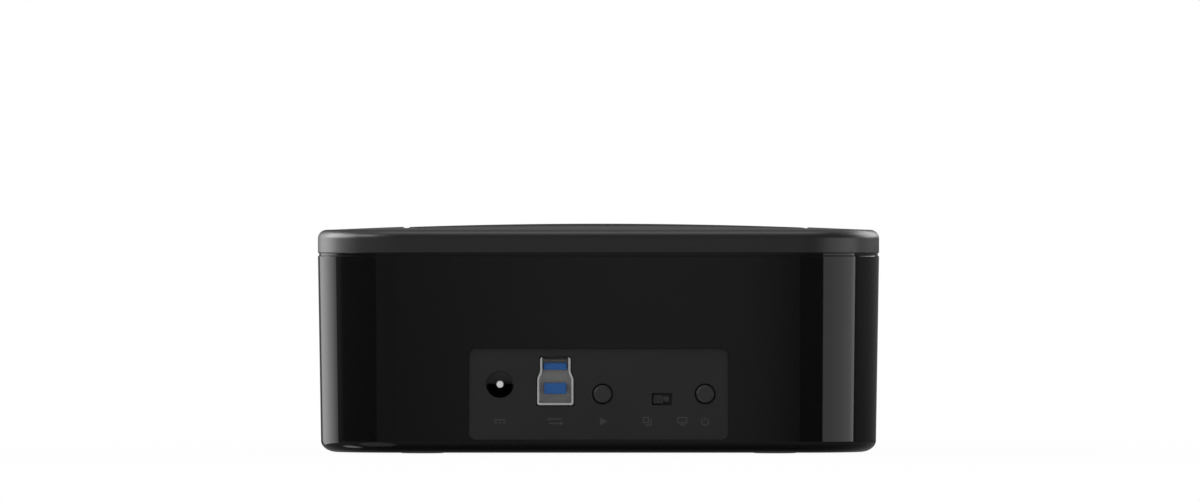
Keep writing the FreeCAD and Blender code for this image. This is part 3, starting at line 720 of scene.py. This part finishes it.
def makeShroud():
    # the black front of the slide switch, open where the knob's neck runs
    middle = middleOf("mode_switch_body")
    z = middleOf("mode_switch_knob").z
    front = slideHigh.y
    plate = cube("slideShroud",
                 (middle.x - slide["shroudHalfX"], front + slide["shroudGap"], z - slide["shroudBelow"]),
                 (middle.x + slide["shroudHalfX"], front + slide["shroudFront"], z + slide["shroudAbove"]))
    run = (slideHigh.x - slideLow.x) / 2 - slide["neckRunEnd"]
    half = slide["neckRunHalf"]
    return cutAway(plate, cube("neckRun", (middle.x - run, front - spare, z - half),
                               (middle.x + run, front + spare, z + half)))


def makePin():
    pin = backCircle(inletX, inletZ, (pinHigh.x - pinLow.x) / 2)
    shoulder = pinHigh.y - inlet["pinTip"]
    rings = [(pin, pinLow.y), (pin, shoulder)]
    for inset, rise in roundedEdge(8, inlet["pinTip"]):
        rings.append((grown(pin, -inset), shoulder + rise))
    return turnToBack(sweepRings("dcPin", rings, cornerSteps=12))


def makeKnob():
    middle = middleOf("mode_switch_knob")
    front = knobHigh.y
    knob = cube("modeKnob", (knobLow.x, knobLow.y + slide["neckLength"], knobLow.z),
                (knobHigh.x, front, knobHigh.z))
    softEdges(knob, slide["knobEdge"], segments=3)
    half = slide["ribWidth"] / 2
    for x in spread(slide["ribs"], slide["ribPitch"], middle.x):
        cutAway(knob, cube("ribGroove", (x - half, front - slide["ribDepth"], knobLow.z - spare),
                           (x + half, front + spare, knobHigh.z + spare)))
    half = slide["stemHalf"]
    stem = cube("modeKnobNeck", (middle.x - half, knobLow.y, middle.z - half),
                (middle.x + half, knobLow.y + slide["stemLength"], middle.z + half))
    return joinPieces("modeKnob", [knob, stem])


def printedBar(x, z, width, height):
    face = panelHigh.y
    return cube("printedBar", (x - width / 2, face, z - height / 2),
                (x + width / 2, face + prints["thickness"], z + height / 2))


def printedFrame(x, z, width, height):
    stroke = prints["stroke"]
    return [
        printedBar(x, z + (height - stroke) / 2, width, stroke),
        printedBar(x, z - (height - stroke) / 2, width, stroke),
        printedBar(x - (width - stroke) / 2, z, stroke, height - 2 * stroke),
        printedBar(x + (width - stroke) / 2, z, stroke, height - 2 * stroke),
    ]


def printedTriangle(x, z, radius, towards):
    # towards is 1 for +X and -1 for -X
    deselectAll()
    bpy.ops.mesh.primitive_circle_add(vertices=3, radius=radius, fill_type="NGON", location=(0, 0, 0))
    piece = bpy.context.object
    for number, vertex in enumerate(piece.data.vertices):
        turn = math.radians(120 * number)
        vertex.co = (x + towards * radius * math.cos(turn), panelHigh.y, z + radius * math.sin(turn))
    startEdit()
    drawOut(prints["thickness"])
    finishEdit()
    return piece


def printedArc(x, z, radius, start, turn):
    # a small face across the stroke, spun about the middle of the arc
    deselectAll()
    bpy.ops.mesh.primitive_plane_add(size=1, location=(0, 0, 0))
    piece = bpy.context.object
    angle = math.radians(start)
    for vertex in piece.data.vertices:
        out = radius + vertex.co.x * prints["stroke"]
        y = panelHigh.y + (vertex.co.y + 0.5) * prints["thickness"]
        vertex.co = (x + math.cos(angle) * out, y, z + math.sin(angle) * out)
    startEdit()
    bpy.ops.mesh.spin(steps=prints["arcSteps"], angle=math.radians(turn), center=(x, 0, z), axis=(0, 1, 0))
    selectAll()
    bpy.ops.mesh.remove_doubles(threshold=tiny)
    finishEdit()
    return piece


def makePrints():
    # plain signs under the sockets and controls: direct current, data, start, copy, computer and power
    slideX = middleOf("mode_switch_body").x
    places = {
        "current": inletX,
        "data": usbX,
        "start": middleOf("start_button").x,
        "copy": slideX + prints["copyStep"],
        "computer": slideX - prints["computerStep"],
        "power": middleOf("power_button").x,
    }
    pieces = []
    for sign, signX in places.items():
        for x, z, width, height in prints["bars"].get(sign, ()):
            pieces.append(printedBar(signX + x * mm, prints["z"] + z * mm, width * mm, height * mm))
        for x, z, width, height in prints["frames"].get(sign, ()):
            pieces += printedFrame(signX + x * mm, prints["z"] + z * mm, width * mm, height * mm)
        for x, z, radius, towards in prints["triangles"].get(sign, ()):
            pieces.append(printedTriangle(signX + x * mm, prints["z"] + z * mm, radius * mm, towards))
    ring = prints["powerRing"]
    pieces.append(printedArc(places["power"], prints["z"] + ring["z"], ring["radius"],
                             ring["start"], ring["turn"]))
    return joinPieces("panelPrint", pieces)


print("modelling the rear panel")
pips = {
    "count": 6,
    "pitch": 7.0 * mm,
    "halfX": 1.6 * mm,
    "halfZ": 0.7 * mm,
    "corner": 0.25 * mm,
    "depth": 5.0 * mm,
}
for pipX in spread(pips["count"], pips["pitch"]):
    window = backOutline(pipX, middleOf("light_pipe").z, pips["halfX"], pips["halfZ"], pips["corner"])
    cutAway(housing, backCutter("pipWindow", window, caseLow.y - spare, caseLow.y + pips["depth"], 4))
cutAway(housing, backCutter("windowCutter", panelWindow, panelLow.y - panel["bedDepth"],
                            caseHigh.y + spare, 10))
rearPanel = makePanel()
caps = {node: makeCap(node) for node in ("start_button", "power_button")}
usbShell = makeUsbShell()
usbScreen = makeUsbScreen()
inletBody = makeInletBody()
# painted light: pale half rings light the upper half of the power inlet, while its lower half stays dark
inletFace = makeUpperRing("inletFace", inlet["bore"], panel["inletHole"] - inlet["faceGap"],
                          inletHigh.y, inletHigh.y + inlet["faceRim"])
inletRest = makeUpperRing("inletRest", inlet["pinHole"], inlet["bore"] - inlet["paintedDiscGap"],
                          inletHigh.y - inlet["boreDepth"] + inlet["paintedDiscFoot"],
                          inletHigh.y - inlet["paintedDiscDepth"])
inletPin = makePin()
slideShroud = makeShroud()
modeKnob = makeKnob()
panelPrint = makePrints()

# Underside: base plate, feet and screws

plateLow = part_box("base_plate")[0]
footLow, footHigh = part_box("foot_front_left")
fourCorners = [(sideX, sideY) for sideX in (-1, 1) for sideY in (-1, 1)]
base = {
    "plateGap": 0.2 * mm,
    "plateThickness": 1.8 * mm,
    "plateEdge": 0.3 * mm,
    "ventCount": 7,
    "ventPitch": 5.2 * mm,
    "ventX": 24.0 * mm,
    "ventHalfX": 13.0 * mm,
    "ventHalfY": 1.1 * mm,
    "ventRound": 0.98,
    "holeEdge": 0.12 * mm,
    "footGap": 0.15 * mm,
    "footRecess": 0.6 * mm,
    "footEdge": 0.2 * mm,
    # radius and depth of the rings in a foot's face, in mm
    "footRings": ((4.3, 0), (4.15, 0.15), (3.65, 0.15), (3.5, 0),
                  (2.3, 0), (2.15, 0.15), (1.65, 0.15), (1.5, 0)),
    "screwX": 62.5 * mm,
    "screwY": 24.99 * mm,
    "screwHead": 2.7 * mm,
    "screwHeadHeight": 1.8 * mm,
    "screwShank": 1.25 * mm,
    "screwRecess": 0.5 * mm,
    "screwGap": 0.15 * mm,
    "domeWidth": 0.9 * mm,
    "domeHeight": 0.7 * mm,
    "crossReach": 1.45 * mm,
    "crossHalf": 0.3 * mm,
    "crossDepth": 0.9 * mm,
}


def makeBasePlate():
    low, high = plateLow.z, plateLow.z + base["plateThickness"]
    inset = casing["plateInset"] + base["plateGap"]
    edge = base["plateEdge"]
    rings = [casingRing(inset, high), casingRing(inset, low + edge)]
    rings += [casingRing(inset + inward, low + edge - rise) for inward, rise in roundedEdge(4, edge)]
    plate = sweepRings("basePlateSkin", rings, cornerSteps=24)
    halfY = base["ventHalfY"]
    for side in (-1, 1):
        for y in spread(base["ventCount"], base["ventPitch"]):
            vent = (side * base["ventX"], y, base["ventHalfX"], halfY, halfY * base["ventRound"])
            rings = [(vent, low - spare), (vent, high + spare)]
            cutAway(plate, sweepRings("ventCutter", rings, cornerSteps=6))
    footX, footY = (footLow.x + footHigh.x) / 2, (footLow.y + footHigh.y) / 2
    footRadius = (footHigh.x - footLow.x) / 2 + base["footGap"]
    boreRadius = base["screwHead"] + base["screwGap"]
    for sideX, sideY in fourCorners:
        recess = circle(sideX * footX, sideY * footY, footRadius)
        bore = circle(sideX * base["screwX"], sideY * base["screwY"], boreRadius)
        cutAway(plate, sweepRings("footCutter", [(recess, low - spare), (recess, low + base["footRecess"])]),
                sweepRings("boreCutter", [(bore, low - spare), (bore, high + spare)], cornerSteps=8))
    return softEdges(plate, base["holeEdge"], segments=2, angle=50)


def makeFoot(node):
    low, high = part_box(node)
    x, y, radius = (low.x + high.x) / 2, (low.y + high.y) / 2, (high.x - low.x) / 2
    edge = base["footEdge"]
    rings = [(circle(x, y, radius), high.z), (circle(x, y, radius), low.z + edge)]
    rings += [(circle(x, y, radius - inward), low.z + edge - rise) for inward, rise in roundedEdge(5, edge)]
    rings += [(circle(x, y, inner * mm), low.z + depth * mm) for inner, depth in base["footRings"]]
    return sweepRings(node + "_pad", rings, cornerSteps=14)


def makeCaseScrews():
    face = plateLow.z + base["screwRecess"]
    bearing = face + base["screwHeadHeight"]
    dome = face + base["domeHeight"]
    head, shank = circle(0, 0, base["screwHead"]), circle(0, 0, base["screwShank"])
    rings = [(shank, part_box("case_screws")[1].z), (shank, bearing), (head, bearing), (head, dome)]
    for inset, rise in roundedEdge(6, base["domeWidth"], base["domeHeight"]):
        rings.append((grown(head, -inset), dome - rise))
    first = sweepRings("caseScrewSet", rings, cornerSteps=10)
    reach, half = base["crossReach"], base["crossHalf"]
    depth = face + base["crossDepth"]
    cutAway(first, cube("crossA", (-reach, -half, face - spare), (reach, half, depth)),
            cube("crossB", (-half, -reach, face - spare), (half, reach, depth)))
    screws = []
    for sideX, sideY in fourCorners:
        screw = first.copy()
        screw.data = first.data.copy()
        bpy.context.scene.collection.objects.link(screw)
        for vertex in screw.data.vertices:
            vertex.co.x += sideX * base["screwX"]
            vertex.co.y += sideY * base["screwY"]
        screws.append(screw)
    bpy.data.objects.remove(first)
    return joinPieces("caseScrewSet", screws)


# Dust flaps and their springs

flapEdge = 0.2 * mm
flatAngle = 0.5
springs = {
    "wire": 0.16 * mm,
    "turns": 10,
    "coil": 0.84 * mm,
    "pinInset": 1.0 * mm,
    "wireSides": 8,
    "turnSteps": 18,
}


def nodesNamed(start):
    return [node for node in sorted(frame["nodes"]) if node.startswith(start)]


def softCopy(node, width, segments=2):
    # a merged copy of a plain CAD node, with its edges eased
    piece = bpy.data.objects.new(node + "_soft", frame["nodes"][node].data.copy())
    bpy.context.scene.collection.objects.link(piece)
    selectOnly(piece)
    bpy.ops.mesh.customdata_custom_splitnormals_clear()
    startEdit()
    bpy.ops.mesh.remove_doubles(threshold=mergeDistance)
    bpy.ops.mesh.dissolve_limited(angle_limit=math.radians(flatAngle))
    finishEdit()
    return softEdges(piece, width, segments)


def makeSpring(node):
    # a wire ring swept along the pin into a coil, with a leg at each end
    low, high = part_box(node)
    wire, sides = springs["wire"], springs["wireSides"]
    axisY, axisZ = low.y + springs["pinInset"], high.z - springs["pinInset"]
    deselectAll()
    bpy.ops.mesh.primitive_circle_add(vertices=sides, radius=wire, fill_type="NOTHING", location=(0, 0, 0))
    coil = bpy.context.object
    coil.name = coil.data.name = node + "_coil"
    for vertex in coil.data.vertices:
        vertex.co = (low.x + wire + vertex.co.x, 0, springs["coil"] + vertex.co.y)
    pitch = (high.x - low.x - 2 * wire) / springs["turns"]
    applyModifier(coil, "SCREW", axis="X", angle=math.radians(360), screw_offset=pitch,
                  steps=springs["turnSteps"], render_steps=springs["turnSteps"],
                  iterations=springs["turns"], use_merge_vertices=False)
    for vertex in coil.data.vertices:
        vertex.co.y += axisY
        vertex.co.z += axisZ
    legs = []
    wallLeg = (low.x + wire, axisY - springs["coil"], (low.z + axisZ) / 2, axisZ - low.z, 0)
    leafLeg = (high.x - wire, (axisY + high.y) / 2, axisZ + springs["coil"], high.y - axisY, 90)
    for x, y, z, length, tilt in (wallLeg, leafLeg):
        deselectAll()
        bpy.ops.mesh.primitive_cylinder_add(vertices=sides, radius=wire, depth=length, location=(x, y, z),
                                            rotation=(math.radians(tilt), 0, 0))
        applyPlacement()
        legs.append(bpy.context.object)
    return joinPieces(node + "_coil", [coil] + legs)


print("modelling the underside")
basePlate = makeBasePlate()
feet = {node: makeFoot(node) for node in nodesNamed("foot_")}
caseScrews = makeCaseScrews()
flaps = {node: softCopy(node, flapEdge, segments=3) for node in nodesNamed("flap_")
         if not node.startswith("flap_spring_")}
coils = {node: makeSpring(node) for node in nodesNamed("flap_spring_")}


# Materials

skin = {
    "cloudScale": 60.0,
    "cloudDetail": 3.0,
    "grainDetail": 2.0,
    "glossSpread": 0.15,
    "bumpDistance": 0.05 * mm,
}


def setLinks(tree, pairs):
    for source, target in pairs:
        tree.links.new(source, target)


def newMaterial(name):
    material = bpy.data.materials.new(name)
    material.use_nodes = True
    return material, material.node_tree, material.node_tree.nodes["Principled BSDF"]


def noiseOn(tree, scale, detail):
    place = tree.nodes.new("ShaderNodeTexCoord")
    noise = tree.nodes.new("ShaderNodeTexNoise")
    noise.inputs["Scale"].default_value = scale
    noise.inputs["Detail"].default_value = detail
    tree.links.new(place.outputs["Object"], noise.inputs["Vector"])
    return noise


def stepOver(tree, source, start, end, low, high):
    # runs from low to high while source runs from start to end
    ramp = tree.nodes.new("ShaderNodeMapRange")
    for socket, value in (("From Min", start), ("From Max", end), ("To Min", low), ("To Max", high)):
        ramp.inputs[socket].default_value = value
    tree.links.new(source, ramp.inputs["Value"])
    return ramp.outputs["Result"]


def mixColours(tree, factor, first, second):
    mix = tree.nodes.new("ShaderNodeMix")
    mix.data_type = "RGBA"
    mix.inputs["A"].default_value = (*first, 1)
    mix.inputs["B"].default_value = (*second, 1)
    tree.links.new(factor, mix.inputs["Factor"])
    return mix.outputs["Result"]


def mouldedPlastic(name, colour, roughness, grain, grainDepth,
                   specular=0.5, variation=0.12, metallic=0.0, index=1.5):
    # a skin with fine grain in the bump and the gloss, and slow cloudiness in the colour
    if isinstance(colour, float):
        colour = (colour, colour, colour)
    material, tree, shader = newMaterial(name)
    cloud = noiseOn(tree, skin["cloudScale"], skin["cloudDetail"])
    fine = noiseOn(tree, grain, skin["grainDetail"])
    darker = tuple(c * (1 - variation) for c in colour)
    lighter = tuple(c * (1 + variation) for c in colour)
    smoother, rougher = roughness * (1 - skin["glossSpread"]), roughness * (1 + skin["glossSpread"])
    bump = tree.nodes.new("ShaderNodeBump")
    bump.inputs["Strength"].default_value = grainDepth
    bump.inputs["Distance"].default_value = skin["bumpDistance"]
    setLinks(tree, [
        (mixColours(tree, cloud.outputs["Fac"], darker, lighter), shader.inputs["Base Color"]),
        (stepOver(tree, fine.outputs["Fac"], 0, 1, smoother, rougher), shader.inputs["Roughness"]),
        (fine.outputs["Fac"], bump.inputs["Height"]),
        (bump.outputs["Normal"], shader.inputs["Normal"]),
    ])
    shader.inputs["Specular IOR Level"].default_value = specular
    shader.inputs["Metallic"].default_value = metallic
    shader.inputs["IOR"].default_value = index
    return material


metal = {"metallic": 1.0}
# by slot or extra piece: material name, grey or colour, roughness, grain, grain depth and what else differs
finishTable = {
    "gloss_housing": ("glossHousing", (0.0032, 0.0032, 0.0034), 0.055, 400, 0.02, {}),
    "satin_cover": ("satinCover", (0.0042, 0.0042, 0.0044), 0.35, 5200, 0.25,
                    {"specular": 1.0, "index": 1.68}),
    "satin_bezel": ("satinBezel", (0.009, 0.009, 0.0094), 0.42, 5200, 0.25, {"specular": 0.8, "index": 1.6}),
    "matte_base": ("sparkedBase", 0.012, 0.6, 3000, 0.5, {}),
    "matte_panel": ("mattePanel", (0.0205, 0.0205, 0.0207), 0.55, 6000, 0.3, {}),
    "well_black": ("wellBlack", 0.008, 0.5, 3000, 0.3, {}),
    "flap_black": ("flapBlack", (0.011, 0.011, 0.0115), 0.42, 4200, 0.3, {}),
    "button_black": ("buttonBlack", (0.032, 0.032, 0.0325), 0.34, 5000, 0.15, {}),
    "knob_black": ("knobBlack", 0.036, 0.4, 5000, 0.2, {}),
    "plunger_black": ("plungerBlack", 0.01, 0.4, 4000, 0.2, {}),
    # near black: partly the connectors' own black, partly painted shade on the lower half of the power inlet
    "connector_black": ("connectorBlack", 0.004, 0.45, 4000, 0.2, {"specular": 0.1}),
    "usb_blue": ("usbBlue", (0.012, 0.11, 0.37), 0.42, 4000, 0.1, {}),
    "usb_shell_steel": ("usbShellSteel", 0.6, 0.36, 2500, 0.1, {"metallic": 0.35}),
    "switch_steel": ("switchSteel", (0.34, 0.34, 0.335), 0.36, 2500, 0.1, metal),
    "screw_steel": ("screwSteel", (0.2, 0.2, 0.21), 0.35, 3000, 0.2, metal),
    "pin_steel": ("pinSteel", 0.5, 0.25, 3000, 0.1, metal),
    "spring_steel": ("springSteel", 0.45, 0.25, 3000, 0.1, metal),
    "crystal_steel": ("crystalSteel", 0.6, 0.3, 2000, 0.1, metal),
    "pin_nickel": ("pinNickel", 0.96, 0.3, 3000, 0.05, {"variation": 0.02, "metallic": 0.05}),
    "contact_gold": ("contactGold", (0.8, 0.58, 0.22), 0.25, 3000, 0.05, metal),
    "board_laminate": ("boardLaminate", (0.006, 0.045, 0.018), 0.25, 900, 0.15, {"variation": 0.35}),
    "chip_black": ("chipBlack", 0.012, 0.5, 5000, 0.3, {}),
    "inductor_black": ("inductorBlack", 0.02, 0.6, 4000, 0.4, {}),
    "capacitor_aluminium": ("capacitorAluminium", (0.6, 0.6, 0.61), 0.3, 3000, 0.1, metal),
    "led_white": ("ledWhite", (0.7, 0.7, 0.62), 0.3, 3000, 0.05, {}),
    "clear_light_pipe": ("clearLightPipe", (0.55, 0.57, 0.58), 0.15, 3000, 0.03, {}),
    "foot_rubber": ("footRubber", 0.014, 0.75, 2500, 0.5, {}),
    "usbScreen": ("usbScreen", 0.42, 0.5, 2500, 0.1, {}),
    "panelPrint": ("panelPrint", 0.055, 0.6, 3000, 0.1, {}),
    # painted light: pale greys that make the upper half of the power inlet read lit
    "inletFace": ("inletFace", 0.042, 0.5, 3000, 0.1, {}),
    "inletRest": ("inletRest", 0.4, 0.5, 3000, 0.1, {}),
    "slideShroud": ("slideShroud", 0.036, 0.5, 3000, 0.1, {}),
}
finishes = {use: mouldedPlastic(*values, **extras) for use, (*values, extras) in finishTable.items()}

print("finishing the nodes")
for node, thing in frame["nodes"].items():
    paint(thing, finishes[slotOf[node]])

standIns = {
    "main_housing": housing,
    "top_cover": coverShell,
    "slot_bezel": slotBezel,
    "rear_io_plate": rearPanel,
    "usb_shell": usbShell,
    "dc_inlet_body": inletBody,
    "dc_inlet_pin": inletPin,
    "mode_switch_knob": modeKnob,
    "base_plate": basePlate,
    "case_screws": caseScrews,
}
for made in (caps, feet, flaps, coils):
    standIns.update(made)
easedEdges = {
    "usb_insulator": 0.15 * mm,
    "mode_switch_body": 0.12 * mm,
    "light_pipe": 0.1 * mm,
    "bridge_controller": 0.05 * mm,
    "firmware_chip": 0.05 * mm,
    "drive_socket_rear": 0.12 * mm,
    "drive_socket_front": 0.12 * mm,
}
for node, edge in easedEdges.items():
    standIns[node] = softCopy(node, edge)
for node, piece in standIns.items():
    smoothShade(piece)
    standsFor(piece, node, finishes[slotOf[node]])

# the extra pieces, among them the painted light in the power inlet
for piece in (usbScreen, panelPrint, inletFace, inletRest, slideShroud):
    paint(piece, finishes[piece.name])
    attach(piece, "chassis")


# Studio: floor, lamps, background and camera. Its lengths are in metres.

studio = {
    "floorRadius": 3.0,
    "floorDrop": 0.05 * mm,
    "floorColour": (0.8, 0.8, 0.8, 1),
    "floorRoughness": 0.9,
    "nearWhiteness": 0.96,
    "whiteFrom": 0.12,
    "whiteTo": 0.45,
    "level": 0.55,
    "horizon": -0.06,
    # place and brightness: the walls from -Y at 0 to +Y at 1, the ground from straight down at 0
    "walls": ((0, 0.17), (0.42, 0.29), (0.46, 0.29), (0.52, 0.085), (1, 0.085)),
    "ground": ((0, 0.04), (0.3, 0.16), (0.44, 0.17), (0.47, 0.02), (0.5, 0.0)),
    # direction, half angle in degrees and brightness
    "lowLamps": (((0.46, 0.61, -0.64), 26, 0.35), ((0.63, -0.2, -0.75), 13, 1.5)),
    "lowLampEdge": 0.02,
    "middle": (0, 0, 0.03),
}
camera = {
    "distance": 3.4,
    "height": 0.0553,
    "sensor": 36,
    "picturePixels": 1200,
    "pixelsPerMetre": 3640,
    "shiftPixels": 1.5,
    "farthest": 50,
}


def mathNode(tree, operation, *sources):
    node = tree.nodes.new("ShaderNodeMath")
    node.operation = operation
    for socket, source in zip(node.inputs, sources):
        tree.links.new(source, socket)
    return node.outputs[0]


def seenDirectly(tree, path):
    # 1 for what the camera sees, also through glass
    return mathNode(tree, "MAXIMUM", path.outputs["Is Camera Ray"], path.outputs["Is Transmission Ray"])


def whiteForCamera(tree, surface):
    # mixes white into what the camera and glass see, and all of it further off, so that no horizon shows
    path = tree.nodes.new("ShaderNodeLightPath")
    place = tree.nodes.new("ShaderNodeTexCoord")
    reach = tree.nodes.new("ShaderNodeVectorMath")
    reach.operation = "LENGTH"
    tree.links.new(place.outputs["Object"], reach.inputs[0])
    whiteness = stepOver(tree, reach.outputs["Value"], studio["whiteFrom"], studio["whiteTo"],
                         studio["nearWhiteness"], 1)
    share = mathNode(tree, "MULTIPLY", seenDirectly(tree, path), whiteness)
    white = tree.nodes.new("ShaderNodeEmission")
    white.inputs["Strength"].default_value = 1.0
    mix = tree.nodes.new("ShaderNodeMixShader")
    setLinks(tree, [(share, mix.inputs[0]), (surface, mix.inputs[1]), (white.outputs[0], mix.inputs[2])])
    return mix.outputs[0]


def makeFloor():
    deselectAll()
    bpy.ops.mesh.primitive_circle_add(vertices=96, radius=studio["floorRadius"], fill_type="NGON",
                                      location=(0, 0, -studio["floorDrop"]))
    floor = bpy.context.object
    floor.name = "studioFloor"
    material, tree, shader = newMaterial("paleFloor")
    shader.inputs["Base Color"].default_value = studio["floorColour"]
    shader.inputs["Roughness"].default_value = studio["floorRoughness"]
    # clear from below, so that the underside can be looked at
    side = tree.nodes.new("ShaderNodeNewGeometry")
    clear = tree.nodes.new("ShaderNodeBsdfTransparent")
    either = tree.nodes.new("ShaderNodeMixShader")
    setLinks(tree, [
        (side.outputs["Backfacing"], either.inputs[0]),
        (whiteForCamera(tree, shader.outputs[0]), either.inputs[1]),
        (clear.outputs[0], either.inputs[2]),
        (either.outputs[0], tree.nodes["Material Output"].inputs["Surface"]),
    ])
    floor.data.materials.append(material)
    floor.visible_glossy = False


def brightnessOver(tree, source, stops):
    # stops: place from 0 to 1 and brightness, in rising order
    ramp = tree.nodes.new("ShaderNodeValToRGB")
    elements = ramp.color_ramp.elements
    for number, (place, value) in enumerate(stops):
        element = elements[number] if number < 2 else elements.new(place)
        element.position = place
        element.color = (value, value, value, 1)
    tree.links.new(source, ramp.inputs["Fac"])
    return ramp.outputs["Color"]


def mirroredLamp(tree, direction, reach, brightness):
    # a round patch of light that only gloss mirrors; reach is its half angle in degrees
    place = tree.nodes.new("ShaderNodeTexCoord")
    facing = tree.nodes.new("ShaderNodeVectorMath")
    facing.operation = "DOT_PRODUCT"
    facing.inputs[1].default_value = Vector(direction).normalized()
    tree.links.new(place.outputs["Generated"], facing.inputs[0])
    edge = math.cos(math.radians(reach))
    return stepOver(tree, facing.outputs["Value"], edge, edge + studio["lowLampEdge"], 0, brightness)


def makeWorld():
    # white for the camera and glass, one level for the lighting, and studio greys for what gloss mirrors
    world = bpy.data.worlds.new("studioWorld")
    bpy.context.scene.world = world
    world.use_nodes = True
    tree = world.node_tree
    background = tree.nodes["Background"]
    background.inputs["Color"].default_value = (1, 1, 1, 1)
    path = tree.nodes.new("ShaderNodeLightPath")
    place = tree.nodes.new("ShaderNodeTexCoord")
    axes = tree.nodes.new("ShaderNodeSeparateXYZ")
    tree.links.new(place.outputs["Generated"], axes.inputs[0])
    walls = brightnessOver(tree, stepOver(tree, axes.outputs["Y"], -1, 1, 0, 1), studio["walls"])
    horizon = stepOver(tree, axes.outputs["Z"], studio["horizon"], 0, 0, 1)
    ground = brightnessOver(tree, stepOver(tree, axes.outputs["Z"], -1, 1, 0, 1), studio["ground"])
    mirrored = mathNode(tree, "MULTIPLY_ADD", walls, horizon, ground)
    for direction, reach, brightness in studio["lowLamps"]:
        mirrored = mathNode(tree, "ADD", mirrored, mirroredLamp(tree, direction, reach, brightness))
    grey = tree.nodes.new("ShaderNodeMix")
    grey.inputs["A"].default_value = studio["level"]
    white = tree.nodes.new("ShaderNodeMix")
    white.inputs["B"].default_value = 1.0
    setLinks(tree, [
        (mirrored, grey.inputs["B"]),
        (path.outputs["Is Glossy Ray"], grey.inputs["Factor"]),
        (grey.outputs["Result"], white.inputs["A"]),
        (seenDirectly(tree, path), white.inputs["Factor"]),
        (white.outputs["Result"], background.inputs["Strength"]),
    ])


def addSoftbox(name, place, width, height, strength, fade=None):
    # fade: its brightness from one upright edge to the other
    lamp = bpy.data.lights.new(name, "AREA")
    lamp.shape = "RECTANGLE"
    lamp.size = width
    lamp.size_y = height
    lamp.energy = strength * width * height * math.pi
    if fade:
        lamp.use_nodes = True
        tree = lamp.node_tree
        across = tree.nodes.new("ShaderNodeNewGeometry")
        axes = tree.nodes.new("ShaderNodeSeparateXYZ")
        tree.links.new(across.outputs["Parametric"], axes.inputs[0])
        glow = tree.nodes["Emission"].inputs["Strength"]
        tree.links.new(brightnessOver(tree, axes.outputs["X"], fade), glow)
    box = bpy.data.objects.new(name, lamp)
    bpy.context.scene.collection.objects.link(box)
    box.location = place
    aim = Vector(studio["middle"]) - Vector(place)
    box.rotation_euler = aim.to_track_quat("-Z", "Y").to_euler()
    box.visible_camera = False


def aroundObject(angle, distance, height):
    # angle in degrees from +Y, where the camera stands, towards the left of the picture
    turn = math.radians(angle)
    return (math.sin(turn) * distance, math.cos(turn) * distance, height)


def makeCamera():
    data = bpy.data.cameras.new("rearCamera")
    seat = bpy.data.objects.new("rearCamera", data)
    bpy.context.scene.collection.objects.link(seat)
    seat.location = (0, camera["distance"], camera["height"])
    seat.rotation_euler = (math.radians(90), 0, math.radians(180))
    pictureWidth = camera["picturePixels"] / camera["pixelsPerMetre"]
    data.sensor_width = camera["sensor"]
    data.lens = camera["sensor"] * camera["distance"] / pictureWidth
    data.shift_x = camera["shiftPixels"] / camera["picturePixels"]
    data.clip_end = camera["farthest"]
    bpy.context.scene.camera = seat


softboxes = {
    # place, width, height, strength, and the fade where it has one
    "leftSoftbox": (aroundObject(125, 1.5, 0.25), 1.5, 1.4, 1.8,
                    ((0, 0.4), (0.25, 0.8), (0.5, 1.0), (0.75, 0.85), (1, 0.4))),
    "rightSoftbox": (aroundObject(-61.5, 1.4, 0.0), 1.335, 0.22, 2.45,
                     ((0, 0.33), (0.2, 0.35), (0.5, 0.42), (0.85, 0.56), (1, 1.0))),
    "frontSoftbox": ((1.136, 4.2, 0.06), 2.6, 1.0, 0.2,
                     ((0, 0.4), (0.9, 0.4), (0.913, 0.58), (0.932, 0.74), (0.952, 0.98), (0.978, 1.0),
                      (1, 0.9))),
    "leftRimSoftbox": (aroundObject(98, 1.4, 0.68), 1.4, 0.9, 2.6),
    "rightRimSoftbox": (aroundObject(-132, 1.4, 0.66), 1.3, 0.9, 2.4),
    "highSoftbox": (aroundObject(50, 1.3, 0.95), 0.7, 0.5, 2.0),
    "topSoftbox": ((0, 0.3, 1.6), 1.2, 1.0, 0.6),
}

print("lighting the studio")
makeFloor()
makeWorld()
for name, values in softboxes.items():
    addSoftbox(name, *values)
makeCamera()
bpy.context.scene.view_settings.view_transform = "Standard"
